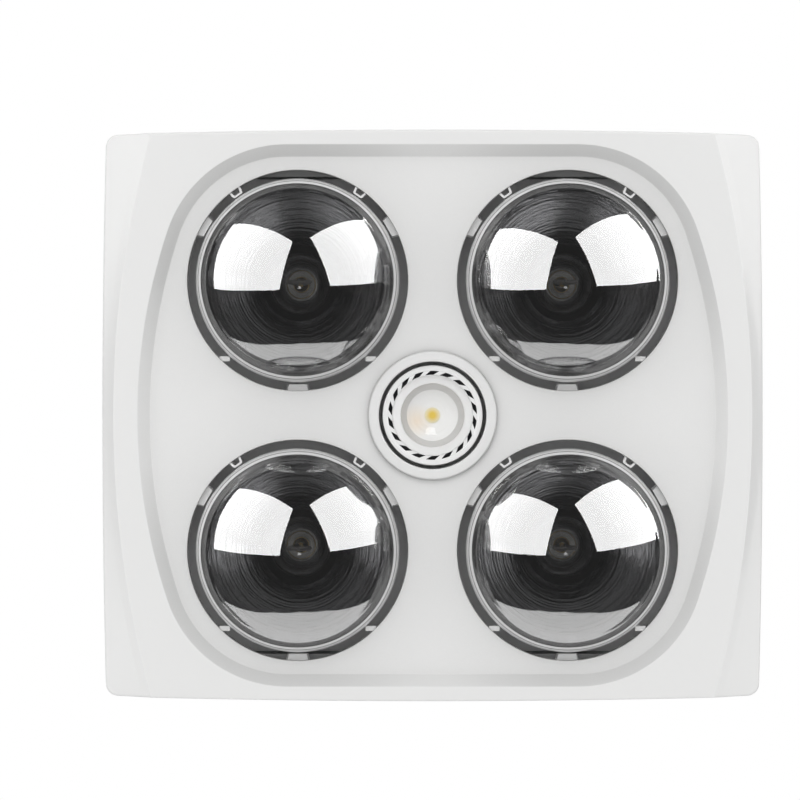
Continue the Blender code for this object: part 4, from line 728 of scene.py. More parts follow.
BY_SLOT = {
    "white_plastic": WHITE, "lamp_glass": LAMP_GLASS, "spot_lens": SPOT_GLASS,
    "galvanised_steel": ZINC, "bright_aluminium": ALUMINIUM, "nickel_plate": NICKEL,
    "brass": BRASS, "porcelain": CERAMIC, "black_plastic": BLACK_AND_PAINTED_SHADE, "grey_plastic": GREY,
    "filament_metal": TUNGSTEN, "motor_steel": MOTOR_STEEL, "led_phosphor": PHOSPHOR,
}
BY_NODE = {"heat_deflector_plate": DULL_SHEET}


def dress_nodes():
    """Every CAD node gets its slot's finish; the ones that are stood for aren't shown."""
    for name, carried in NODES.items():
        carried.data.materials.clear()
        carried.data.materials.append(BY_NODE.get(name, BY_SLOT[SLOTS[name]]))


# Fascia

def photo_turn(angle):
    """An angle as seen from below, where the picture's up is -Y."""
    return -math.radians(angle)


def mirrored(quarter):
    """A whole outline from its quarter, which runs from the +X side to the +Y side."""
    left = [(-x, y) for x, y in reversed(quarter)]
    upper = quarter + [point for point in left if abs(point[0]) > MERGE]
    lower = [(x, -y) for x, y in reversed(upper)]
    return upper + [point for point in lower if abs(point[1]) > MERGE]


def side_line(y):
    return FASCIA_HALF_X - y * y / (2 * FASCIA_SIDE_BOW_RADIUS)


def end_line(x):
    return FASCIA_HALF_Y - x * x / (2 * FASCIA_END_BOW_RADIUS)


def corner_centre():
    """Middle of the fascia's corner arc, which touches both bowed sides."""
    x = FASCIA_HALF_X - FASCIA_CORNER_RADIUS
    y = FASCIA_HALF_Y - FASCIA_CORNER_RADIUS
    for _ in range(CORNER_ROUNDS):
        x = side_line(y) - FASCIA_CORNER_RADIUS
        y = end_line(x) - FASCIA_CORNER_RADIUS
    return x, y


CORNER = corner_centre()


def fascia_outline(inset=0.0, steps=16):
    """The fascia's outline moved in by an inset; its sides are slightly bowed."""
    cx, cy = CORNER
    quarter = []
    for step in range(steps):
        y = cy * step / steps
        quarter.append((side_line(y) - inset, y))
    slope = cy / FASCIA_SIDE_BOW_RADIUS
    quarter += arc(CORNER, FASCIA_CORNER_RADIUS - inset, slope, math.pi / 2 - slope, 12)
    for step in range(1, steps + 1):
        x = cx * (1 - step / steps)
        quarter.append((x, end_line(x) - inset))
    return mirrored(quarter)


def edge_depth(x, y):
    """How far a plan point lies inside the fascia's outline."""
    x, y = abs(x), abs(y)
    cx, cy = CORNER
    if x > cx and y > cy:
        return FASCIA_CORNER_RADIUS - math.hypot(x - cx, y - cy)
    return min(side_line(y) - x, end_line(x) - y)


def crease_line(y):
    """Where the sloping side strip starts, out from the middle."""
    run = math.sqrt(CREASE_RADIUS * CREASE_RADIUS - y * y)
    return CREASE_HALF_X - CREASE_RADIUS + run


def crease(side, shift, steps=32):
    reach = FASCIA_HALF_Y * CREASE_REACH_SHARE
    out = []
    for step in range(steps + 1):
        y = reach * (2 * step / steps - 1)
        out.append((side * (crease_line(y) + shift), y))
    return out


def dish_corner():
    """Middle of the dish's corner arc, which touches its flat end and its bowed side."""
    y = DISH_HALF_Y - DISH_CORNER_RADIUS
    reach = DISH_SIDE_RADIUS - DISH_CORNER_RADIUS
    return DISH_HALF_X - DISH_SIDE_RADIUS + math.sqrt(reach * reach - y * y), y


def dish_outline(inset=0.0):
    cx, cy = dish_corner()
    side = (DISH_HALF_X - DISH_SIDE_RADIUS, 0.0)
    meet = math.atan2(cy, cx - side[0])
    quarter = arc(side, DISH_SIDE_RADIUS - inset, 0.0, meet, 14)
    quarter += arc((cx, cy), DISH_CORNER_RADIUS - inset, meet, math.pi / 2, 28)[1:]
    quarter += [(cx * (1 - step / 8), DISH_HALF_Y - inset) for step in range(1, 9)]
    return mirrored(quarter)


def dish_depth(x, y):
    """How far a plan point lies inside the dish's upper edge."""
    x, y = abs(x), abs(y)
    cx, cy = dish_corner()
    side_x = DISH_HALF_X - DISH_SIDE_RADIUS
    if x < cx:
        return min(DISH_HALF_Y - y, DISH_SIDE_RADIUS - math.hypot(x - side_x, y))
    if math.atan2(y, x - side_x) < math.atan2(cy, cx - side_x):
        return DISH_SIDE_RADIUS - math.hypot(x - side_x, y)
    return DISH_CORNER_RADIUS - math.hypot(x - cx, y - cy)


def ramp(distance, width, soft):
    """A rise from 0 to 1 over a width, its two bends rounded over soft to each side."""
    if distance <= -soft:
        return 0.0
    if distance >= width + soft:
        return 1.0
    if distance < soft:
        return (distance + soft) ** 2 / (4 * soft * width)
    if distance > width - soft:
        return 1.0 - (width + soft - distance) ** 2 / (4 * soft * width)
    return distance / width


def rounded_edge(depth, radius):
    """How far a rounded edge falls back at a depth inside it."""
    if depth >= radius:
        return 0.0
    past = radius - max(depth, 0.0)
    return radius - math.sqrt(radius * radius - past * past)


def lip_insets(radius):
    """Depths at which a rounded edge is cut into facets."""
    return [radius * (1 - math.sin(math.radians(angle))) for angle in LIP_ANGLES]


def front(x, y):
    """Height of the fascia's underside, the face that shows in the room."""
    start = crease_line(y)
    strip = ramp(abs(x) - start, side_line(y) - start + CREASE_SOFT, CREASE_SOFT)
    strip += STRIP_HOLLOW * strip * (1 - strip)
    sunk = ramp(dish_depth(x, y), DISH_SLOPE_WIDTH, DISH_SOFT)
    height = RIDGE_Z + strip * (SIDE_EDGE_Z - RIDGE_Z) + sunk * (FLOOR_Z - RIDGE_Z)
    height += rounded_edge(edge_depth(x, y), EDGE_ROUND)
    for centre in lamp_places():
        reach = math.hypot(x - centre[0], y - centre[1]) - HOLE_RADIUS
        if reach < HOLE_LIP:
            height += rounded_edge(reach, HOLE_LIP)
    return height


def bezel_front(x, y):
    """Height of the raised collar's underside round the centre lamp."""
    reach = math.hypot(x, y)
    along = max(0.0, 1 - (BEZEL_RADIUS - reach) / BEZEL_SHOULDER)
    fall = 1 - math.sqrt(max(0.0, 1 - along * along))
    height = BEZEL_FRONT_Z + fall * (FLOOR_Z - BEZEL_FRONT_Z)
    return height + rounded_edge(reach - BEZEL_HOLE_RADIUS, BEZEL_LIP)


def make_fascia():
    """The moulded cover: dish, holes with collars, raised centre collar and pegs."""
    places = lamp_places()
    pegs = peg_places()
    loops = [fascia_outline(inset) for inset in lip_insets(EDGE_ROUND)]
    loops.append(fascia_outline(FASCIA_WALL))
    for share in SOFT_SHARES:
        loops.append(dish_outline(DISH_SOFT * share))
        loops.append(dish_outline(DISH_SLOPE_WIDTH + DISH_SOFT * share))
    for centre in places:
        loops += [circle(centre, HOLE_RADIUS + inset) for inset in lip_insets(HOLE_LIP)]
        loops.append(circle(centre, HOLE_RADIUS + COLLAR_WALL))
    loops += [circle(centre, PEG_RADIUS, PEG_STEPS) for centre in pegs]
    loops += [circle(ORIGIN, BEZEL_HOLE_RADIUS + inset, MID_STEPS)
              for inset in lip_insets(BEZEL_LIP)]
    loops.append(circle(ORIGIN, BEZEL_HOLE_RADIUS + COLLAR_WALL, MID_STEPS))
    for inset in lip_insets(BEZEL_SHOULDER):
        loops.append(circle(ORIGIN, BEZEL_RADIUS - inset, MID_STEPS))
    shifts = [CREASE_SOFT * share for share in SOFT_SHARES]
    shifts += [STRIP_LINE * (rank + 1) for rank in range(STRIP_LINES)]
    lines = [crease(side, shift) for side in (-1, 1) for shift in shifts]

    def near(x, y, centre, radius, steps=STEPS):
        """Inside a circle that was drawn with straight facets."""
        return math.hypot(x - centre[0], y - centre[1]) < radius * math.cos(math.pi / steps / 2)

    def zone_at(x, y):
        if edge_depth(x, y) < 0 or near(x, y, ORIGIN, BEZEL_HOLE_RADIUS, MID_STEPS):
            return None
        if any(near(x, y, centre, HOLE_RADIUS) for centre in places):
            return None
        if any(near(x, y, centre, HOLE_RADIUS + COLLAR_WALL) for centre in places):
            return "collar"
        if any(near(x, y, centre, PEG_RADIUS, PEG_STEPS) for centre in pegs):
            return "peg"
        if near(x, y, ORIGIN, BEZEL_HOLE_RADIUS + COLLAR_WALL, MID_STEPS):
            return "bezel_wall"
        if near(x, y, ORIGIN, BEZEL_RADIUS, MID_STEPS):
            return "bezel"
        return "face" if edge_depth(x, y) > FASCIA_WALL else "skirt"

    heights = {
        "skirt": (front, level(FASCIA_TOP_Z)),
        "face": (front, lambda x, y: front(x, y) + FASCIA_WALL),
        "collar": (front, level(COLLAR_TOP_Z)),
        "peg": (front, level(PEG_TOP_Z)),
        "bezel_wall": (bezel_front, level(BEZEL_TOP_Z)),
        "bezel": (bezel_front, level(FLOOR_Z + FASCIA_WALL)),
    }
    bm = relief(loops, zone_at, heights, lines)
    # The dish takes the plastic with painted shade; the rest of the face is plain white.
    for face in bm.faces:
        spot = face.calc_center_median()
        face.material_index = int(dish_depth(spot.x, spot.y) > 0)
    for centre in places:
        add_hole_fittings(bm, centre)
    dress("fascia_moulding", bm, [WHITE, DISH_WHITE_PAINTED_SHADE], "fascia")


def placed(centre, angle, points):
    """Points given as (outwards, across) from a hole's centre, turned to an angle."""
    turn = photo_turn(angle)
    along = Vector(polar(1.0, turn))
    across = Vector((-along.y, along.x))
    return [tuple(Vector(centre) + along * out + across * side) for out, side in points]


def add_hole_fittings(bm, centre):
    """The tabs, hollow bosses and stubs that stand in a lamp hole."""
    root = HOLE_RADIUS + COLLAR_WALL / 2
    for angle in TAB_ANGLES:
        face, foot = (
            placed(centre, angle, [(TAB_INNER_RADIUS, -TAB_TIP_HALF - slant),
                                   (root, -TAB_ROOT_HALF - slant), (root, TAB_ROOT_HALF + slant),
                                   (TAB_INNER_RADIUS, TAB_TIP_HALF + slant)])
            for slant in (0.0, TAB_SLANT))
        prism(bm, foot, TAB_FRONT_Z, COLLAR_TOP_Z, face)
    tip = HOLE_RADIUS - BOSS_REACH
    for angle in BOSS_ANGLES:
        half, wall = BOSS_HALF, BOSS_WALL
        tip_half = half * BOSS_TIP_SHARE
        outer = filleted([(root, -half), (tip, -tip_half), (tip, tip_half), (root, half)],
                         BOSS_WALL, closed=False)
        inner = filleted([(root, half - wall), (tip + wall, tip_half - wall),
                          (tip + wall, wall - tip_half), (root, wall - half)],
                         BOSS_WALL / 2, closed=False)
        prism(bm, placed(centre, angle, outer + inner), BOSS_FRONT_Z, COLLAR_TOP_Z)
    for angle in STUB_ANGLES:
        x, y = placed(centre, angle, [(HOLE_RADIUS - STUB_REACH, 0.0)])[0]
        outline = rectangle(x - STUB_HALF_X, y - STUB_HALF_Y, x + STUB_HALF_X, y + STUB_HALF_Y)
        prism(bm, outline, STUB_FRONT_Z, COLLAR_TOP_Z)


# Heat lamps

LAMP_RADIUS = 0.0625
LAMP_WIDEST_Z = -0.014
LAMP_DOME_RADIUS = 0.072
LAMP_SHOULDER_RADIUS = 0.023
LAMP_NECK_RADIUS = 0.020
LAMP_BELL_HEIGHT = 0.072
LAMP_NECK_HEIGHT = 0.020
LAMP_THROAT_HEIGHT = 0.010
LAMP_GLASS_WALL = 0.0012
LAMP_TAIL_DEPTH = 0.006
LAMP_TAIL_RADIUS = 0.0117
LAMP_BEND = 0.004
BELL_BELLY_SHARE = 1.5
BELL_WAIST_SHARE = 1.25
LAMP_BEAD_RADIUS = 0.0563       # where a moulded ring runs round the dome
LAMP_BEAD_WIDTH = 0.0008
LAMP_BEAD_HEIGHT = 0.00018
MIRROR_RADIUS = 0.0589          # the coat starts here on the shoulder
COAT_LINE_RADIUS = 0.0606       # a darker line runs round the coat's rim
COAT_LINE_HALF = 0.0002
# how high the shoulder's painted reflection reaches over the widest plane
SHOULDER_REFLECTION_HEIGHT = 0.004
NECK_SHADE_Z = 0.050             # the neck's inside from here up to its throat is painted dark grey, as shade, not coated


def bell_radius(rise):
    """Radius of the lamp's reflector bell at a height over its widest plane."""
    along = rise / LAMP_BELL_HEIGHT
    swell = (1 - along ** BELL_BELLY_SHARE) ** BELL_WAIST_SHARE
    return LAMP_NECK_RADIUS + (LAMP_RADIUS - LAMP_NECK_RADIUS) * swell


def lamp_cap_base():
    return LAMP_WIDEST_Z + LAMP_BELL_HEIGHT + LAMP_NECK_HEIGHT + LAMP_THROAT_HEIGHT


def bead(radius):
    across = (radius - LAMP_BEAD_RADIUS) / LAMP_BEAD_WIDTH
    return -LAMP_BEAD_HEIGHT * math.exp(-across * across)


def glass_outline():
    """The glass from the dome's tip up to the end of its tail, as (radius, height)."""
    shoulder = LAMP_RADIUS - LAMP_SHOULDER_RADIUS
    reach = LAMP_DOME_RADIUS - LAMP_SHOULDER_RADIUS
    lean = math.asin(shoulder / reach)
    down = -math.pi / 2
    dome_centre = (0.0, LAMP_WIDEST_Z + reach * math.cos(lean))
    out = arc(dome_centre, LAMP_DOME_RADIUS, down, down + lean, 64)
    out += arc((shoulder, LAMP_WIDEST_Z), LAMP_SHOULDER_RADIUS, down + lean, 0.0, 60)[1:]
    out = [(radius, height + bead(radius)) for radius, height in out]
    for step in range(1, 33):
        rise = LAMP_BELL_HEIGHT * step / 32
        out.append((bell_radius(rise), LAMP_WIDEST_Z + rise))
    base = lamp_cap_base()
    out += [(LAMP_NECK_RADIUS, base - LAMP_THROAT_HEIGHT), (LAMP_TAIL_RADIUS, base),
            (LAMP_TAIL_RADIUS, base + LAMP_TAIL_DEPTH)]
    return out


def offset_profile(points, distance):
    """The profile moved to its left, square to its own run."""
    out = []
    last = len(points) - 1
    for index, (radius, height) in enumerate(points):
        before = points[max(index - 1, 0)]
        after = points[min(index + 1, last)]
        run = Vector((after[0] - before[0], after[1] - before[1])).normalized()
        out.append((radius - run.y * distance, height + run.x * distance))
    out[0] = (0.0, points[0][1] + distance)
    out[-1] = (points[-1][0] - distance, points[-1][1])
    return out


def make_lamps():
    """Each lamp's glass: clear in front, mirror-coated inside from the shoulder back, with a
    painted reflection round the outside of the shoulder and painted shade inside the neck.
    """
    outer = filleted(glass_outline(), LAMP_BEND, closed=False, steps=5)
    inner = offset_profile(outer, LAMP_GLASS_WALL)
    profile = [(0.0, outer[0][1])] + outer[1:] + list(reversed(inner))
    turn_back = len(outer)
    throat = lamp_cap_base() - LAMP_THROAT_HEIGHT - LAMP_GLASS_WALL * 2

    def material_at(rank):
        radius, height = profile[rank]
        if rank < turn_back:
            # Outside the shoulder: the painted reflection band, with a dark line round it.
            if radius < MIRROR_RADIUS or height > LAMP_WIDEST_Z + SHOULDER_REFLECTION_HEIGHT:
                return 0
            return 3 if abs(radius - COAT_LINE_RADIUS) < COAT_LINE_HALF else 2
        # Inside the neck below the throat: painted shade.
        if height > NECK_SHADE_Z:
            return 1 if height > throat else 3
        clear = profile[rank + 1][0] < MIRROR_RADIUS and height < LAMP_WIDEST_Z
        return 0 if clear else 1

    bm = turned(profile, material_at=material_at)
    copies("lamp_{}_envelope", bm, [LAMP_GLASS, MIRROR, SHOULDER_PAINTED_REFLECTION, DARK_LINE_AND_NECK_SHADE],
           "heat_lamp_{}_glass")


# Centre lamp

SPOT_FRONT_Z = -0.0125
SPOT_RIM_RADIUS = 0.0307
SPOT_RIM_INNER_RADIUS = 0.0273
SPOT_RIM_HEIGHT = 0.009
SPOT_RIM_ROUND = 0.0007
SPOT_CAGE_RADIUS = 0.0245       # the thin wall between the lens and the slots
SPOT_CAGE_WALL = 0.0004
SPOT_SLOTS = 18
SPOT_STEPS = 144
SPOT_SLOT_DEPTH = 0.0062
SPOT_RIB_FRONT = 0.0006         # behind the rim's front
SPOT_RIB_SHARE = 0.43           # of a slot's pitch
SPOT_RIB_LEAN = 9.5             # degrees from its inner to its outer end
SPOT_LENS_RADIUS = 0.0242
SPOT_LENS_EDGE_Z = -0.0117
SPOT_LENS_BACK_Z = -0.0087
SPOT_LENS_CROWN = 0.0012
SPOT_LENS_ROUND = 0.0004
SPOT_FLANGE_RADIUS = 0.0194
SPOT_SEAT_Z = -0.0084
SPOT_CUP_TOP_Z = 0.0056
SPOT_CUP_RADIUS = 0.0154
SPOT_BOWL_DEPTH = 0.0028
SPOT_BOWL_RINGS = 5
SPOT_RING_HEIGHT = 0.00008
SPOT_CHIP_HEIGHT = 0.0011
SPOT_CHIP_CROWN = 0.8
SPOT_CORE_INSET = 0.0032        # from the fins' edges to the body between them
SPOT_WAIST_RADIUS = 0.0185
SPOT_WAIST_Z = 0.0295
SPOT_TOP_RADIUS = 0.0135
SPOT_TOP_Z = 0.0455
SPOT_FIN_HALF = 0.0007
SPOT_FIN_TOP_Z = 0.0405


def bowl_height(radius):
    """The bowl round the chip, with its faint rings."""
    along = radius / SPOT_CUP_RADIUS
    wave = math.sin(along * SPOT_BOWL_RINGS * 2 * math.pi) * SPOT_RING_HEIGHT
    return SPOT_CUP_TOP_Z - SPOT_BOWL_DEPTH * along * along - wave


def spot_profile():
    """The body from the middle of its bowl over the rim to its tail, with material ranks."""
    bowl = [(SPOT_CUP_RADIUS * step / 40, bowl_height(SPOT_CUP_RADIUS * step / 40))
            for step in range(41)]
    wall = [(SPOT_FLANGE_RADIUS, SPOT_SEAT_Z + SPOT_RIM_ROUND * 2),
            (SPOT_FLANGE_RADIUS + SPOT_RIM_ROUND / 2, SPOT_SEAT_Z + SPOT_RIM_ROUND)]
    ledge = [(SPOT_CAGE_RADIUS, SPOT_SEAT_Z)]
    cage_front = SPOT_FRONT_Z + SPOT_RIB_FRONT
    cage = [(SPOT_CAGE_RADIUS, cage_front), (SPOT_CAGE_RADIUS + SPOT_CAGE_WALL, cage_front)]
    # The floor behind the slots is black: painted shade for the dark seen through them.
    floor = SPOT_FRONT_Z + SPOT_SLOT_DEPTH
    channel = [(SPOT_CAGE_RADIUS + SPOT_CAGE_WALL, floor), (SPOT_RIM_INNER_RADIUS, floor)]
    inner = SPOT_RIM_INNER_RADIUS + SPOT_RIM_ROUND
    outer = SPOT_RIM_RADIUS - SPOT_RIM_ROUND
    turn = SPOT_FRONT_Z + SPOT_RIM_ROUND
    rim = arc((inner, turn), SPOT_RIM_ROUND, -math.pi, -math.pi / 2, 5)
    rim += arc((outer, turn), SPOT_RIM_ROUND, -math.pi / 2, 0.0, 5)
    back = [(SPOT_RIM_RADIUS, SPOT_FRONT_Z + SPOT_RIM_HEIGHT - SPOT_RIM_ROUND),
            (SPOT_RIM_RADIUS - SPOT_RIM_ROUND, SPOT_FRONT_Z + SPOT_RIM_HEIGHT),
            (SPOT_RIM_RADIUS - SPOT_CORE_INSET, SPOT_FRONT_Z + SPOT_RIM_HEIGHT),
            (SPOT_WAIST_RADIUS - SPOT_CORE_INSET, SPOT_WAIST_Z),
            (SPOT_TOP_RADIUS - SPOT_RIM_ROUND, SPOT_FIN_TOP_Z),
            (SPOT_TOP_RADIUS, SPOT_FIN_TOP_Z + SPOT_RIM_ROUND),
            (SPOT_TOP_RADIUS, SPOT_TOP_Z), (LAMP_TAIL_RADIUS, SPOT_TOP_Z),
            (LAMP_TAIL_RADIUS, SPOT_TOP_Z + LAMP_TAIL_DEPTH), (0.0, SPOT_TOP_Z + LAMP_TAIL_DEPTH)]
    # Finishes: 0 white body, 1 bowl with painted reflection, 2 cup wall with painted shade, 3 slot
    # floor black as painted shade.
    runs = [(bowl, 1), (wall, 2), (ledge, 0), (cage, 0), (channel, 3), (rim, 0), (back, 0)]
    profile = []
    ranks = []
    for points, finish in runs:
        ranks += [finish] * len(points)
        profile += points
    return profile, ranks


def make_spot_body():
    """Bowl, cup wall, slotted ring, rim and the finned back of the centre lamp."""
    profile, ranks = spot_profile()
    bm = turned(profile, SPOT_STEPS, material_at=lambda rank: ranks[rank + 1])
    pitch = 360.0 / SPOT_SLOTS
    low = SPOT_FRONT_Z + SPOT_RIB_FRONT
    high = SPOT_FRONT_Z + SPOT_SLOT_DEPTH
    for number in range(SPOT_SLOTS):
        start = pitch / 2 - pitch * number
        end = start - pitch * SPOT_RIB_SHARE
        inner = arc(ORIGIN, SPOT_CAGE_RADIUS + SPOT_CAGE_WALL / 2, photo_turn(start),
                    photo_turn(end), 4)
        outer = arc(ORIGIN, SPOT_RIM_INNER_RADIUS + SPOT_RIM_ROUND / 2,
                    photo_turn(end - SPOT_RIB_LEAN), photo_turn(start - SPOT_RIB_LEAN), 4)
        prism(bm, inner + outer, low, high)
    base = SPOT_FRONT_Z + SPOT_RIM_HEIGHT - SPOT_RIM_ROUND
    inset = SPOT_CORE_INSET + SPOT_FIN_HALF
    section = [(SPOT_RIM_RADIUS - inset, base), (SPOT_RIM_RADIUS - SPOT_RIM_ROUND, base),
               (SPOT_WAIST_RADIUS, SPOT_WAIST_Z), (SPOT_TOP_RADIUS, SPOT_FIN_TOP_Z),
               (SPOT_TOP_RADIUS - SPOT_FIN_HALF * 2, SPOT_FIN_TOP_Z),
               (SPOT_WAIST_RADIUS - inset, SPOT_WAIST_Z)]
    for number in range(SPOT_SLOTS):
        upright_plate(bm, section, SPOT_FIN_HALF, math.radians(pitch * number))
    dress("centre_lamp_body", bm, [LED_WHITE, BOWL_PAINTED_REFLECTION, CUP_WALL_PAINTED_SHADE, BLACK_AND_PAINTED_SHADE], "led_body")


def upright_plate(bm, section, half, turn):
    """A plate with a (radius, height) section, standing radially at an angle."""
    across = Vector(polar(half, turn + math.pi / 2, 0.0))
    skin(bm, [[Vector(polar(radius, turn, height)) + across * side for radius, height in section]
              for side in (-1, 1)])


def make_spot_lens():
    """The crowned lens; its flange is frosted."""
    round_off = SPOT_LENS_ROUND
    reach = SPOT_LENS_RADIUS - round_off

    def crown(radius):
        share = radius / SPOT_LENS_RADIUS
        return SPOT_LENS_EDGE_Z - SPOT_LENS_CROWN * (1 - share * share)

    radii = [reach * step / 24 for step in range(25)]
    front_face = [(radius, crown(radius)) for radius in radii]
    edge = arc((reach, crown(reach) + round_off), round_off, -math.pi / 2, 0.0, 4)[1:]
    edge += arc((reach, SPOT_LENS_BACK_Z - round_off), round_off, 0.0, math.pi / 2, 4)
    back = [(radius, SPOT_LENS_BACK_Z) for radius in (SPOT_FLANGE_RADIUS, 0.0)]
    profile = front_face + edge + back
    bm = turned(profile, SPOT_STEPS,
                material_at=lambda rank: int(profile[rank][0] > SPOT_FLANGE_RADIUS))
    lens = dress("centre_lamp_lens", bm, [SPOT_GLASS, FROSTED], "led_lens")
    lens.visible_shadow = False
    lens.visible_diffuse = False


def make_spot_chip():
    """The light chip: a low dome of phosphor on a round base."""
    top = bowl_height(0.0) - GAP
    profile = []
    for step in range(9):
        share = step / 8
        fall = math.sqrt(1 - share * share * SPOT_CHIP_CROWN)
        profile.append((SPOT_CHIP_RADIUS * share, top - SPOT_CHIP_HEIGHT * fall))
    profile += [(SPOT_CHIP_RADIUS, top), (0.0, top)]
    dress("centre_lamp_chip", turned(profile, SMALL_STEPS), [PHOSPHOR], "led_chip")


# Filaments and screw caps

CAP_RADIUS = 0.0132
CAP_THREAD_DEPTH = 0.0009
CAP_THREAD_PITCH = 0.0036
CAP_WALL = 0.0005
CAP_SKIRT_HEIGHT = 0.0052
CAP_SKIRT_ROUND = 0.0006
CAP_HEIGHT = 0.024
CAP_END_RADIUS = 0.0075
CAP_END_HEIGHT = 0.0025
CONTACT_BORE = 0.0033
STEM_RADIUS = 0.0045
STEM_HEIGHT = 0.012
STEM_FOOT_SHARE = 0.8           # of the tail's radius
STEM_BEND = 0.0012
LEAD_RADIUS = 0.0006
LEAD_SPREAD = 0.0075
COIL_Z = 0.024
COIL_RADIUS = 0.0013
COIL_WIRE = 0.0003
COIL_TURNS = 16
COIL_SAG = 0.0016
HOOK_RADIUS = COIL_RADIUS * 1.6
HOOK_ANGLES = (0.5, 1.2, 1.9, 2.6, 3.3, 4.0)    # radians round the coil


def screw_cap(base):
    """A lamp's threaded cap from a height up: skirt, thread and black glass end."""
    shoulder = CAP_RADIUS - CAP_THREAD_DEPTH
    bore = shoulder - CAP_WALL
    edge = CAP_SKIRT_ROUND
    skirt = [(bore, GAP), (CAP_RADIUS - edge, GAP), (CAP_RADIUS, GAP + edge),
             (CAP_RADIUS, CAP_SKIRT_HEIGHT - edge), (shoulder, CAP_SKIRT_HEIGHT),
             (bore, CAP_SKIRT_HEIGHT)]
    bm = turned(skirt, SMALL_STEPS, True)
    threaded(bm, CAP_RADIUS, CAP_THREAD_DEPTH, CAP_THREAD_PITCH, CAP_SKIRT_HEIGHT, CAP_HEIGHT,
             bore, SMALL_STEPS)
    top = CAP_HEIGHT + CAP_END_HEIGHT
    end = [(CONTACT_BORE, CAP_HEIGHT - CAP_WALL), (bore, CAP_HEIGHT - CAP_WALL),
           (shoulder, CAP_HEIGHT), (shoulder - edge, CAP_HEIGHT + edge / 2),
           (CAP_END_RADIUS, top), (CONTACT_BORE, top)]
    add(bm, turned(end, SMALL_STEPS, True, lambda rank: int(rank > 2)))
    bmesh.ops.translate(bm, verts=bm.verts, vec=(0.0, 0.0, base))
    return bm


def make_caps():
    copies("lamp_{}_screw_cap", screw_cap(lamp_cap_base()), [NICKEL, BLACK_AND_PAINTED_SHADE], "heat_lamp_{}_cap")
    dress("centre_lamp_screw_cap", screw_cap(SPOT_TOP_Z), [NICKEL, BLACK_AND_PAINTED_SHADE], "led_cap")


def make_filaments():
    """A glass stem, two bent leads, the sagging coil between them and its middle hook."""
    base = lamp_cap_base()
    low = base - STEM_HEIGHT / 2
    foot = LAMP_TAIL_RADIUS * STEM_FOOT_SHARE
    stem = [(0.0, low), (STEM_RADIUS / 2, low), (STEM_RADIUS, base), (foot, base),
            (foot, base + LAMP_TAIL_DEPTH), (0.0, base + LAMP_TAIL_DEPTH)]
    bm = turned(filleted(stem, STEM_BEND, False), THIN_STEPS, material_at=lambda rank: 1)
    start = STEM_RADIUS / 3
    top = low + STEM_RADIUS
    for side in (-1, 1):
        path = []
        for step in range(17):
            along = step / 16
            spread = start + (LEAD_SPREAD - start) * math.sin(along * math.pi / 2)
            path.append((side * spread, 0.0, top - (top - COIL_Z) * along))
        tube(bm, path, LEAD_RADIUS)
    coil = []
    steps = COIL_TURNS * 12
    for step in range(steps + 1):
        along = 2 * step / steps - 1
        angle = 2 * math.pi * COIL_TURNS * step / steps
        sag = COIL_SAG * (1 - along * along)
        coil.append((LEAD_SPREAD * along, COIL_RADIUS * math.cos(angle),
                     COIL_Z - sag + COIL_RADIUS * math.sin(angle)))
    tube(bm, coil, COIL_WIRE, 5)
    hook = [(0.0, 0.0, low + STEM_RADIUS / 2), (0.0, 0.0, COIL_Z + COIL_RADIUS * 2)]
    hook += [(0.0, HOOK_RADIUS * math.sin(angle),
              COIL_Z - COIL_SAG + HOOK_RADIUS * math.cos(angle))
             for angle in HOOK_ANGLES]
    tube(bm, hook, LEAD_RADIUS / 2, 6)
    copies("lamp_{}_coil", bm, [TUNGSTEN, SPOT_GLASS], "heat_lamp_{}_filament")


# Housing

SHEET = 0.0008
TUB_CORNER_RADIUS = 0.006
ROOF_RIB_HALF = 0.0045
ROOF_RIB_RISE = 0.0016
ROOF_RIB_REACH = 0.105
ROOF_RIB_Y = 0.130
ROOF_RIB_BEND = 0.6             # of its half width
INLET_RADIUS = 0.045
CABLE_HOLE = (-0.1414, 0.0)
CABLE_HOLE_RADIUS = 0.007
LEVEL_FACE = 0.5                # a face is level where its normal rises by more
SEAM_WIDTH = 0.011
SEAM_MARGIN = 0.008
SEAM_RIVETS = 4
RIVET_RADIUS = 0.0024
RIVET_HEIGHT = 0.0011


def stadium(y, inset):
    """A long rounded slot across the roof, moved in by an inset."""
    half = ROOF_RIB_HALF - inset
    reach = ROOF_RIB_REACH - ROOF_RIB_HALF
    return (arc((reach, y), half, -math.pi / 2, math.pi / 2, 8)
            + arc((-reach, y), half, math.pi / 2, math.pi * 3 / 2, 8))


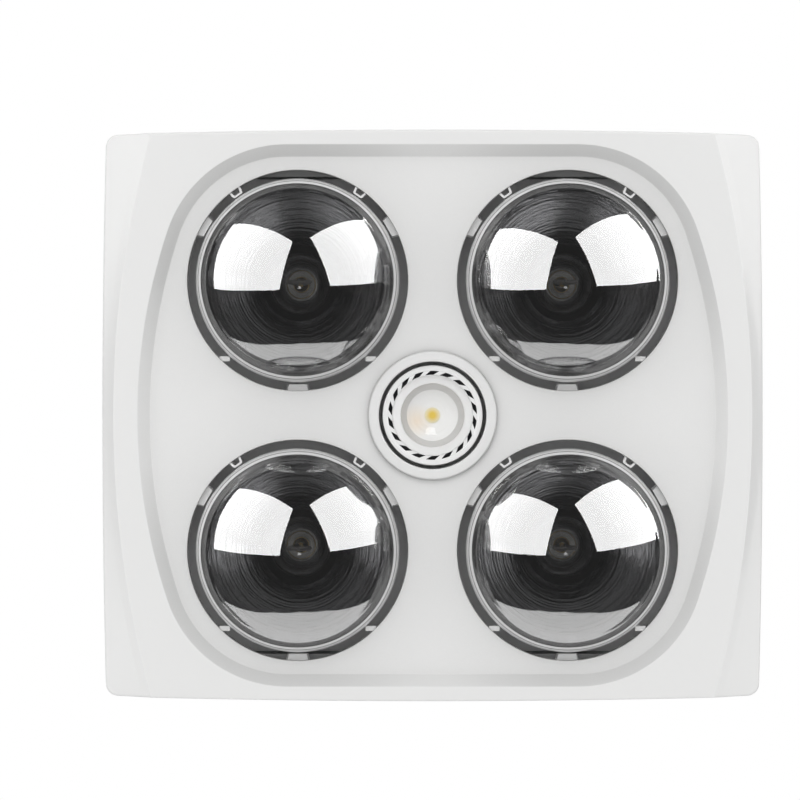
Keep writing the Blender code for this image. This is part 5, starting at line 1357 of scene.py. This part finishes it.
def make_tub():
    """The folded sheet box: flange, walls, roof with pressed ribs, riveted corner laps."""
    low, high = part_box("housing_tub")
    top = high[2]
    half_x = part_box("heat_deflector_plate")[1][0] + SHEET + GAP
    half_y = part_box("heat_deflector_plate")[1][1] + SHEET + GAP
    flange = rounded(*low[:2], *high[:2], 0.0, TUB_CORNER_RADIUS)
    outside, middle, inside = (
        rounded(-half_x, -half_y, half_x, half_y, SHEET * share, TUB_CORNER_RADIUS)
        for share in (0.0, 0.5, 1.0))
    holes = [circle(ORIGIN, INLET_RADIUS, MID_STEPS),
             circle(CABLE_HOLE, CABLE_HOLE_RADIUS, THIN_STEPS)]
    holes += [circle(place, PEG_RADIUS + GAP, PEG_STEPS) for place in peg_places()]
    holes += [circle(place, CLAMP_HOLE_RADIUS, PEG_STEPS) for place in clamp_places()]
    loops = [flange, outside, inside] + holes
    for side in (-1, 1):
        loops += [stadium(side * ROOF_RIB_Y, ROOF_RIB_HALF * share)
                  for share in (0.0, ROOF_RIB_BEND / 2, ROOF_RIB_BEND)]

    def rib(x, y):
        past = max(abs(x) - ROOF_RIB_REACH + ROOF_RIB_HALF, 0.0)
        depth = 1 - math.hypot(past, abs(y) - ROOF_RIB_Y) / ROOF_RIB_HALF
        return ROOF_RIB_RISE * math.sin(min(max(depth / ROOF_RIB_BEND, 0.0), 1.0) * math.pi / 2)

    heights = {
        "flange": slab(low[2], 0.0),
        "wall": slab(low[2], top),
        "roof": (lambda x, y: top - SHEET + rib(x, y), lambda x, y: top + rib(x, y)),
    }
    areas = [(hole, None) for hole in holes]
    areas += [(inside, "roof"), (outside, "wall"), (flange, "flange")]
    bm = relief(loops, zoned(*areas), heights)
    # Faces inside the box and under its flange take painted shade: level ones dark, upright ones
    # grey.
    for face in bm.faces:
        spot = face.calc_center_median()
        if spot.z < low[2] / 2 or spot.z < top - GAP and within(spot.x, spot.y, middle):
            face.material_index = 1 if abs(face.normal.z) > LEVEL_FACE else 2
    for sx, sy in LAMP_SIGNS:
        corner = sy * (half_y - TUB_CORNER_RADIUS)
        edge = corner - sy * SEAM_WIDTH
        face_x = sx * (half_x + SHEET / 2)
        outline = rectangle(sx * (half_x - SHEET / 2), min(corner, edge), face_x,
                            max(corner, edge))
        prism(bm, outline, SEAM_MARGIN, top - SEAM_MARGIN)
        for number in range(SEAM_RIVETS):
            share = (number + 1 / 2) / SEAM_RIVETS
            height = SEAM_MARGIN + (top - 2 * SEAM_MARGIN) * share
            add(bm, rivet(RIVET_RADIUS, RIVET_HEIGHT),
                facing((face_x, (corner + edge) / 2, height), (sx, 0.0, 0.0)))
    dress("tub_sheet", bm, [ZINC, INSIDE_PAINTED_SHADE, INSIDE_WALL_PAINTED_SHADE], "housing_tub")


# Blower

SCROLL_MIN_RADIUS = 0.0605
SCROLL_MAX_RADIUS = 0.092
SCROLL_MOUTH_X = 0.097
SCROLL_MOUTH_TOP_Y = 0.008
SCROLL_START_ANGLE = 10
SCROLL_END_ANGLE = 270
SCROLL_STEPS = 80
SEAM_BEAD = 0.0013
LID_SCREW_INSET = 0.0065
LID_SCREW_ANGLES = (25, 75, 125, 175, 225, 262)
MOTOR_RADIUS = 0.036
MOTOR_EAR_RADIUS = 0.045
MOTOR_EAR_THICKNESS = 0.0015
MOTOR_ROUND = 0.0035
MOTOR_WALL = 0.0012
MOTOR_BOSS_RADIUS = 0.009
MOTOR_BOSS_HEIGHT = 0.004
MOTOR_LUG_RADIUS = 0.0406
MOTOR_SLOTS = 10
MOTOR_SLOT_HALF = 0.0014
MOTOR_SLOT_LOW = 0.015
MOTOR_SLOT_HIGH = 0.029
MOTOR_BEAD_RISE = 0.0006
MOTOR_BEAD_HALF = 0.0015
MOTOR_FOOT_SHARE = 1.25         # how far the boss's foot spreads
MOTOR_BOSS_BEND = 0.0012


def spiral(angle):
    """Radius of the scroll's wall at an angle in degrees."""
    along = (angle - SCROLL_START_ANGLE) / (SCROLL_END_ANGLE - SCROLL_START_ANGLE)
    return SCROLL_MIN_RADIUS + (SCROLL_MAX_RADIUS - SCROLL_MIN_RADIUS) * along


def scroll_line(inset, height):
    """The scroll's wall from one side of its mouth round to the other."""
    out = [(SCROLL_MOUTH_X, inset - SCROLL_MAX_RADIUS, height)]
    turn = SCROLL_END_ANGLE - SCROLL_START_ANGLE
    for step in range(SCROLL_STEPS, -1, -1):
        angle = SCROLL_START_ANGLE + turn * step / SCROLL_STEPS
        out.append(polar(spiral(angle) - inset, math.radians(angle), height))
    out.append((SCROLL_MOUTH_X, SCROLL_MOUTH_TOP_Y - inset, height))
    return out


def make_scroll_fastenings():
    """The rolled seams that join the scroll's wall to its floor and lid, and the lid's screws."""
    bm = bmesh.new()
    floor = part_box("scroll_casing")[0][2]
    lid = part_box("scroll_lid")[1][2]
    for height in (floor + SEAM_BEAD, lid - SEAM_BEAD / 2):
        tube(bm, scroll_line(SEAM_BEAD / 2, height), SEAM_BEAD, 10)
    dress("scroll_seams", bm, [ZINC], "scroll_casing", stands=False)
    make_screws("scroll_lid_screws", "scroll_lid",
                [polar(spiral(angle) - LID_SCREW_INSET, math.radians(angle), lid)
                 for angle in LID_SCREW_ANGLES])


def make_motor_case():
    """The drawn motor case: ears on the lid, a bead, a slotted top and the bearing boss."""
    low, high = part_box("motor_case")
    boss = high[2]
    top = boss - MOTOR_BOSS_HEIGHT
    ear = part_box("scroll_lid")[1][2] + GAP
    inner = MOTOR_RADIUS - MOTOR_WALL
    bead = (top + ear) / 2
    outer = [(MOTOR_RADIUS, low[2]), (MOTOR_RADIUS, ear), (MOTOR_EAR_RADIUS, ear),
             (MOTOR_EAR_RADIUS, ear + MOTOR_EAR_THICKNESS),
             (MOTOR_RADIUS, ear + MOTOR_EAR_THICKNESS),
             (MOTOR_RADIUS, bead - MOTOR_BEAD_HALF), (MOTOR_RADIUS + MOTOR_BEAD_RISE, bead),
             (MOTOR_RADIUS, bead + MOTOR_BEAD_HALF)]
    outer += arc((MOTOR_RADIUS - MOTOR_ROUND, top - MOTOR_ROUND), MOTOR_ROUND, 0.0,
                 math.pi / 2, 8)
    inner_line = [(MOTOR_RADIUS - MOTOR_ROUND, top - MOTOR_WALL)]
    inner_line += arc((MOTOR_RADIUS - MOTOR_ROUND, top - MOTOR_ROUND), MOTOR_ROUND - MOTOR_WALL,
                      math.pi / 2, 0.0, 6)
    inner_line.append((inner, low[2]))
    bm = turned(outer + inner_line, MID_STEPS, True)
    rim = MOTOR_RADIUS - MOTOR_ROUND
    slots = []
    slot = rectangle(MOTOR_SLOT_LOW, -MOTOR_SLOT_HALF, MOTOR_SLOT_HIGH, MOTOR_SLOT_HALF)
    for number in range(MOTOR_SLOTS):
        angle = -360.0 * number / MOTOR_SLOTS
        slots.append(filleted(placed(ORIGIN, angle, slot), MOTOR_SLOT_HALF))
    top_line = circle(ORIGIN, rim, MID_STEPS)
    areas = [(slot, None) for slot in slots] + [(top_line, "top")]
    add(bm, relief([top_line] + slots, zoned(*areas), {"top": slab(top - MOTOR_WALL, top)}))
    dome = filleted([(0.0, boss), (MOTOR_BOSS_RADIUS, boss), (MOTOR_BOSS_RADIUS, top),
                     (MOTOR_BOSS_RADIUS * MOTOR_FOOT_SHARE, top), (0.0, top)],
                    MOTOR_BOSS_BEND, False)
    add(bm, turned(dome, SMALL_STEPS))
    dress("motor_shell", bm, [ZINC], "motor_case")
    make_screws("motor_screws", "motor_case",
                [polar(MOTOR_LUG_RADIUS, math.pi / 4 + math.pi / 2 * number,
                       ear + MOTOR_EAR_THICKNESS) for number in range(4)])


# Outlet

SPIGOT_RADIUS = 0.049
SPIGOT_WALL = 0.0015
SPIGOT_PLATE = 0.0020
SPIGOT_BEAD = 0.0010
SPIGOT_BEAD_REACH = SPIGOT_BEAD * 1.5
SPIGOT_BEAD_SETBACK = 0.006
SPIGOT_SCREW_INSET = 0.006
SPIGOT_LAP_ANGLE = 6


def make_spigot_trim():
    """What the outlet's tube and plate carry: a rolled bead, the lap of the tube, screws."""
    low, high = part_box("outlet_spigot")
    y, z = (low[1] + high[1]) / 2, (low[2] + high[2]) / 2
    face = low[0] + SPIGOT_PLATE
    bead = high[0] - SPIGOT_BEAD_SETBACK
    inner = SPIGOT_RADIUS - SPIGOT_WALL / 2
    ring = [(inner, bead - SPIGOT_BEAD * 2)]
    ring += [(SPIGOT_RADIUS + SPIGOT_BEAD * math.sin(math.pi * step / 8),
              bead - SPIGOT_BEAD_REACH * math.cos(math.pi * step / 8)) for step in range(9)]
    ring.append((inner, bead + SPIGOT_BEAD * 2))
    axis = Matrix.Translation((0.0, y, z)) @ Matrix(((0, 0, 1, 0), (1, 0, 0, 0), (0, 1, 0, 0),
                                                     (0, 0, 0, 1)))
    bm = bmesh.new()
    add(bm, turned(ring, MID_STEPS, True), axis)
    lean = math.radians(SPIGOT_LAP_ANGLE)
    outline = arc(ORIGIN, SPIGOT_RADIUS + SHEET / 2, math.pi / 2 - lean, math.pi / 2 + lean, 6)
    outline += arc(ORIGIN, inner, math.pi / 2 + lean, math.pi / 2 - lean, 6)
    lap = bmesh.new()
    prism(lap, outline, face, bead - SPIGOT_BEAD * 2)
    add(bm, lap, axis)
    dress("spigot_bead_and_lap", bm, [ZINC], "outlet_spigot", stands=False)
    half_y = (high[1] - low[1]) / 2 - SPIGOT_SCREW_INSET
    half_z = (high[2] - low[2]) / 2 - SPIGOT_SCREW_INSET
    make_screws("spigot_screws", "outlet_spigot",
                [(face, y + sy * half_y, z + sz * half_z) for sy, sz in LAMP_SIGNS],
                (1.0, 0.0, 0.0))


# Wiring

BOX_WALL = 0.0016
BOX_ROUND = 0.003
LID_PANEL_INSET = 0.0035
LID_PANEL_SIDE_SHARE = 2.6      # how much more it is set in beside the screws
LID_PANEL_RISE = 0.0004
LID_SCREW_PLACE_INSET = 0.0048
LID_SCREW_RADIUS = 0.0026
GLAND_NUT_HEIGHT = 0.006
GLAND_NUT_RADIUS = 0.0125
GLAND_RADIUS = 0.0095
GLAND_BORE_RADIUS = 0.004
GLAND_SHANK = 0.006
GLAND_GRIPS = 12
GLAND_GRIP_RISE = 0.0005
GLAND_COLLAR_SHARE = 0.93       # of the nut's radius


def make_terminal_box():
    """The wiring box with rounded corners, and its lid with a raised panel and four screws."""
    low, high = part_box("terminal_box")
    outer, inner = (rounded(*low[:2], *high[:2], inset, BOX_ROUND) for inset in (0.0, BOX_WALL))
    hole = circle(CABLE_HOLE, CABLE_HOLE_RADIUS, THIN_STEPS)
    box = relief([outer, inner, hole], zoned((hole, None), (inner, "floor"), (outer, "wall")),
                 {"floor": slab(low[2], low[2] + BOX_WALL), "wall": slab(low[2], high[2])})
    dress("wiring_box", box, [GREY], "terminal_box")
    low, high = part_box("terminal_box_lid")
    side, end = LID_PANEL_INSET * LID_PANEL_SIDE_SHARE, LID_PANEL_INSET
    panel = filleted(rectangle(low[0] + side, low[1] + end, high[0] - side, high[1] - end),
                     BOX_ROUND, steps=6)
    edge = rounded(*low[:2], *high[:2], GAP, BOX_ROUND)
    base = high[2] - LID_PANEL_RISE
    lid = relief([outer, edge, panel], zoned((panel, "panel"), (edge, "lid"), (outer, "edge")), {
        "panel": slab(low[2], high[2]),
        "lid": slab(low[2], base),
        "edge": slab(low[2], base - GAP),
    })
    dress("wiring_box_lid", lid, [GREY], "terminal_box_lid")
    inset = LID_SCREW_PLACE_INSET
    make_screws("wiring_box_screws", "terminal_box_lid",
                [(x, y, base) for y in (low[1] + inset, high[1] - inset)
                 for x in (low[0] + inset, high[0] - inset)], radius=LID_SCREW_RADIUS)


def make_gland():
    """The empty cable gland: six-sided nut, grooved dome nut and the rubber seal's mouth."""
    low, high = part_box("cable_gland")
    x, z = (low[0] + high[0]) / 2, (low[2] + high[2]) / 2
    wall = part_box("terminal_box")[1][1] + GAP
    nut = wall + GLAND_NUT_HEIGHT
    end = high[1]
    bm = bmesh.new()
    axis = Matrix.Translation((x, 0.0, z)) @ Matrix(((1, 0, 0, 0), (0, 0, 1, 0), (0, -1, 0, 0),
                                                     (0, 0, 0, 1)))
    shank = [(GLAND_BORE_RADIUS, low[1]), (GLAND_SHANK, low[1]), (GLAND_SHANK, nut),
             (GLAND_BORE_RADIUS, nut)]
    add(bm, turned(shank, SMALL_STEPS, True), axis)
    hexagon = bmesh.new()
    prism(hexagon, circle(ORIGIN, GLAND_NUT_RADIUS, 6), wall + GAP * 2, nut - GAP * 2)
    collar = circle(ORIGIN, GLAND_NUT_RADIUS * GLAND_COLLAR_SHARE, SMALL_STEPS)
    prism(hexagon, collar, wall, nut)
    add(bm, hexagon, axis)
    rings = []
    rows = 12
    for row in range(rows + 1):
        along = row / rows
        height = nut + (end - nut) * along
        body = GLAND_RADIUS if along < 0.5 else (
            GLAND_SHANK + (GLAND_RADIUS - GLAND_SHANK) * math.sqrt(1 - (2 * along - 1) ** 2))
        ring = []
        for index in range(GLAND_GRIPS * 8):
            angle = 2 * math.pi * index / (GLAND_GRIPS * 8)
            groove = max(0.0, math.cos(angle * GLAND_GRIPS)) * GLAND_GRIP_RISE * (along < 0.5)
            ring.append(polar(body - groove, angle, height))
        rings.append(ring)
    for height in (end, nut):
        rings.append([(px, py, height)
                      for px, py in circle(ORIGIN, GLAND_BORE_RADIUS, GLAND_GRIPS * 8)])
    dome = bmesh.new()
    skin(dome, rings, closed=True)
    add(bm, dome, axis)
    dress("gland_body", bm, [BLACK_AND_PAINTED_SHADE], "cable_gland")


# Clamps

CLAMP_HOLE_RADIUS = 0.0024
CLAMP_SCREW_RADIUS = 0.002
CLAMP_THREAD_DEPTH = 0.00035
CLAMP_THREAD_PITCH = 0.0014
CLAMP_HEAD_RADIUS = 0.004
CLAMP_HEAD_HEIGHT = 0.0022
CLAMP_ARM_LENGTH = 0.030
CLAMP_ARM_HALF = 0.0032
CLAMP_ARM_Z = 0.016
CLAMP_ARM_THICKNESS = 0.004
CLAMP_BOSS_HEIGHT = 0.012
CLAMP_WEB_INSET = 0.0011
CLAMP_WEB_SINK = 0.0016
CLAMP_PAD_LENGTH = 0.008
CLAMP_PAD_DROP = 0.0024
CLAMP_TEETH = 6
CLAMP_TOOTH = 0.0006
CLAMP_LINE_SHARE = 1.1          # the teeth's lines run just past the arm's sides


def clamp_places():
    """Where the clamp screws stand, in their nodes' order."""
    places = []
    for number in range(1, 5):
        low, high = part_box(f"clamp_screw_{number}")
        places.append(((low[0] + high[0]) / 2, (low[1] + high[1]) / 2))
    return places


def make_clamp_screws():
    """Threaded screws, heads down, through the flange."""
    seat = -SHEET - GAP
    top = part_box("clamp_screw_1")[1][2]
    for number, (x, y) in enumerate(clamp_places(), start=1):
        bm = bmesh.new()
        add(bm, screw_head(CLAMP_HEAD_RADIUS, CLAMP_HEAD_HEIGHT),
            facing((0.0, 0.0, seat), (0.0, 0.0, -1.0)))
        threaded(bm, CLAMP_SCREW_RADIUS, CLAMP_THREAD_DEPTH, CLAMP_THREAD_PITCH, seat, top,
                 CLAMP_SCREW_RADIUS / 4, 20, 6)
        dress(f"clamp_{number}_screw", bm, [NICKEL], f"clamp_screw_{number}", at=(x, y, 0.0))


def make_clamp_arms():
    """Swing-out arms: threaded boss, ribbed arm with a sunk web, toothed pad."""
    half, reach = CLAMP_ARM_HALF, CLAMP_ARM_LENGTH
    boss = circle(ORIGIN, half, THIN_STEPS)
    bore = circle(ORIGIN, CLAMP_SCREW_RADIUS + GAP, PEG_STEPS)
    tip = reach - half / 2
    arm = rectangle(0.0, -half, tip, half)[:2] + filleted(
        [(tip, -half), (reach, -half), (reach, half), (tip, half)], half / 2, False)
    arm += [(0.0, half)]
    inset = CLAMP_WEB_INSET
    web = rectangle(half + inset, inset - half, reach - inset * 2, half - inset)
    pad = reach - CLAMP_PAD_LENGTH
    past = half * CLAMP_LINE_SHARE
    lines = [[(pad + CLAMP_PAD_LENGTH * step / CLAMP_TEETH / 2, side) for side in (-past, past)]
             for step in range(CLAMP_TEETH * 2)]
    top = CLAMP_ARM_Z + CLAMP_ARM_THICKNESS

    def teeth(x, y):
        along = (x - pad) / CLAMP_PAD_LENGTH * CLAMP_TEETH
        return CLAMP_ARM_Z - CLAMP_PAD_DROP + CLAMP_TOOTH * abs(2 * (along % 1) - 1)

    def zone_at(x, y):
        if within(x, y, bore):
            return None
        if within(x, y, boss):
            return "boss"
        if not within(x, y, arm):
            return None
        return ("pad" if x > pad else "arm") + ("_web" if within(x, y, web) else "")

    low = {"pad": teeth, "arm": level(CLAMP_ARM_Z)}
    heights = {"boss": (level(CLAMP_ARM_Z), level(CLAMP_ARM_Z + CLAMP_BOSS_HEIGHT))}
    for zone, under in low.items():
        heights[zone] = (under, level(top))
        heights[zone + "_web"] = (under, level(top - CLAMP_WEB_SINK))
    for number, (x, y) in enumerate(clamp_places(), start=1):
        bm = relief([boss, bore, arm, web], zone_at, heights, lines)
        if x > 0:
            bmesh.ops.rotate(bm, verts=bm.verts, matrix=Matrix.Rotation(math.pi, 3, "Z"))
        dress(f"clamp_{number}_arm", bm, [GREY], f"clamp_arm_{number}", at=(x, y, 0.0))


# Stage

CAMERA_LENS = 200.0
CAMERA_SENSOR = 36.0
CAMERA_PLACE = (-0.0200, -0.0094, -2.7405)
FLOOR_DEPTH = 3.0
FLOOR_HALF = 2.5
KEY_LEVEL = 0.68                # what the key adds to a white surface that faces it
BACK_LEVEL = 0.30               # what the lamp behind the unit adds
KEY_FROM = (18.0, 100.0, 2.4)   # degrees off straight down, the picture's angle, metres
BACK_FROM = (150.0, 60.0, 2.4)
SUN_SPREAD = 70.0
ROOM_LEVEL = 0.61               # what the room gives to a white surface
BOX_LEVEL = 11.5                # the two large softboxes that gloss sees
BOX_THROUGH = 0.9               # what is seen of them through glass
BOX_LEFT = ((92, 138.3, 2.0), (40.1, 100, 2.2), (20.7, 200, 2.2), (90.2, 182.4, 2.0))
BOX_RIGHT = ((45.0, 77.5, 2.2), (103, 45, 2.0), (97.5, 3, 2.0), (30.4, -6.5, 2.2))
TABLE_LEVEL = 2.8               # a pale wall out past the picture's bottom
TABLE_BAND = ((104, 216), (98, 216), (83, 231), (69, 248.5), (63.7, 270), (69, 291.5), (83, 309),
              (98, 324), (104, 324))
WALL_REACH = 2.2
STRIP_LEVEL = 3.5               # a small light close to the camera's line
STRIP_CORNERS = ((4.2, 252, 2.2), (4.2, 285, 2.2), (6.6, 285, 2.2), (6.6, 252, 2.2))
BOUNCED_LEVEL = 0.09            # what rays off a dull surface see of any panel
SHIELD_INNER = 0.165            # a shield round the unit, as the ceiling would be
SHIELD_LOW = 0.012
SHIELD_REACH = 3.1
SHIELD_RISE = 0.61
SHIELD_TONE = 0.3
FLAG_REACH = 3.2                # dark panels that only gloss and glass see
FLAG_DEPTH = 2.95
FLAG_TOP = 0.6
FLAG_TONE = 0.06
FLAG_THROUGH = 0.125


def make_camera():
    """The picture looks straight up at the fascia from well below it."""
    lens = bpy.data.cameras.new("camera")
    lens.lens = CAMERA_LENS
    lens.sensor_width = CAMERA_SENSOR
    camera = bpy.data.objects.new("camera", lens)
    camera.location = CAMERA_PLACE
    camera.rotation_euler = (math.pi, 0.0, 0.0)
    bpy.context.scene.collection.objects.link(camera)
    bpy.context.scene.camera = camera


def glow(name, strength, through):
    """A panel's light, weaker to rays that have come through glass or off a dull surface."""
    made = bpy.data.materials.new(name)
    made.use_nodes = True
    made.node_tree.nodes.clear()
    path = node(made, "LightPath")
    plain = node(made, "MapRange", {"Value": path.outputs["Transmission Depth"]},
                 {"To Min": strength, "To Max": through})
    dulled = node(made, "MapRange", {"Value": path.outputs["Diffuse Depth"],
                                     "To Min": plain.outputs["Result"]}, {"To Max": BOUNCED_LEVEL})
    light = node(made, "Emission", {"Strength": dulled.outputs["Result"]},
                 {"Color": (1.0, 1.0, 1.0, 1.0)})
    node(made, "OutputMaterial", {"Surface": light.outputs["Emission"]})
    return made


def staged(name, corners, finish):
    """A flat panel of the stage, which casts no shadow."""
    mesh = bpy.data.meshes.new(name)
    mesh.from_pydata(corners, [], [tuple(range(len(corners)))])
    mesh.materials.append(finish)
    panel = bpy.data.objects.new(name, mesh)
    panel.visible_shadow = False
    bpy.context.scene.collection.objects.link(panel)
    return panel


def card(name, corners, strength, through, seen_by=None):
    """A panel that only gloss and glass see, of these pieces alone where they are given."""
    panel = staged(name, corners, glow(name, strength, through))
    panel.visible_camera = False
    panel.visible_diffuse = False
    panel.light_linking.receiver_collection = seen_by


def towards(off_axis, angle, distance):
    """A point seen from the lamps: degrees off straight down, and the picture's angle."""
    away = math.radians(off_axis)
    return polar(math.sin(away) * distance, photo_turn(angle), -math.cos(away) * distance)


def on_wall(off_axis, angle):
    """The point in a direction on an upright wall at the picture's bottom."""
    across = abs(math.sin(math.radians(off_axis)) * math.sin(math.radians(angle)))
    return towards(off_axis, angle, WALL_REACH / across)


def sun(name, place, strength):
    """A soft even light from a place towards the unit, which gloss doesn't see."""
    light = bpy.data.lights.new(name, "SUN")
    light.angle = math.radians(SUN_SPREAD)
    light.energy = strength * math.pi
    lamp = bpy.data.objects.new(name, light)
    lamp.location = place
    lamp.rotation_euler = (-Vector(place)).to_track_quat("-Z", "Y").to_euler()
    lamp.visible_glossy = False
    lamp.visible_transmission = False
    bpy.context.scene.collection.objects.link(lamp)


def square(half, height):
    """The corners of a level square about the upright axis."""
    return [(x, y, height) for x, y in rectangle(-half, -half, half, half)]


def fence(name, lower, upper, strength, through):
    """Four panels between two level squares."""
    sides = zip(round_pairs(lower), round_pairs(upper))
    for number, ((one, two), (above_one, above_two)) in enumerate(sides, start=1):
        card(f"{name}_{number}", [one, two, above_two, above_one], strength, through)


def make_room():
    """A pale room, white to the camera, gloss and glass, and two soft suns in it."""
    world = bpy.data.worlds.new("room")
    bpy.context.scene.world = world
    world.use_nodes = True
    world.node_tree.nodes.clear()
    path = node(world, "LightPath").outputs
    mirrored_too = node(world, "Math", {0: path["Is Glossy Ray"], 1: path["Is Transmission Ray"]},
                        operation="MAXIMUM")
    seen = node(world, "Math", {0: path["Is Camera Ray"], 1: mirrored_too.outputs[0]},
                operation="MAXIMUM")
    strength = node(world, "MapRange", {"Value": seen.outputs[0]}, {"To Min": ROOM_LEVEL})
    sky = node(world, "Background", {"Strength": strength.outputs["Result"]},
               {"Color": (1.0, 1.0, 1.0, 1.0)})
    node(world, "OutputWorld", {"Surface": sky.outputs["Background"]})
    sun("key", towards(*KEY_FROM), KEY_LEVEL)
    sun("back_light", towards(*BACK_FROM), BACK_LEVEL)


def make_panels():
    """Softboxes and a pale wall that the lamps mirror, and panels that shade the gloss."""
    below = bpy.data.collections.new("lamps_and_fascia")
    for piece in bpy.context.scene.objects:
        if piece.name.startswith(("lamp_", "centre_lamp_", "fascia_")):
            below.objects.link(piece)
    card("box_left", [towards(*corner) for corner in BOX_LEFT], BOX_LEVEL, BOX_THROUGH, below)
    card("box_right", [towards(*corner) for corner in BOX_RIGHT], BOX_LEVEL, BOX_THROUGH, below)
    card("table", [on_wall(*corner) for corner in TABLE_BAND], TABLE_LEVEL, TABLE_LEVEL, below)
    card("strip", [towards(*corner) for corner in STRIP_CORNERS], STRIP_LEVEL, BOX_THROUGH)
    deep = square(FLAG_REACH, -FLAG_DEPTH)
    card("flag_below", deep, FLAG_TONE, FLAG_THROUGH)
    fence("flag", deep, square(FLAG_REACH, FLAG_TOP), FLAG_TONE, FLAG_THROUGH)
    fence("shield", square(SHIELD_INNER, SHIELD_LOW), square(SHIELD_REACH, SHIELD_RISE),
          SHIELD_TONE, SHIELD_TONE)


def make_floor():
    finish = plastic("floor", (0.80, 0.80, 0.80), (0.82, 0.82, 0.82), 0.6, 0.7)
    staged("floor", square(FLOOR_HALF, -FLOOR_DEPTH), finish)


bpy.context.scene.view_settings.view_transform = "Standard"
for make in (dress_nodes, make_fascia, make_lamps, make_spot_body, make_spot_lens, make_spot_chip,
             make_caps, make_filaments, make_tub, make_scroll_fastenings, make_motor_case,
             make_spigot_trim, make_terminal_box, make_gland, make_clamp_screws, make_clamp_arms,
             make_camera, make_room, make_panels, make_floor):
    make()
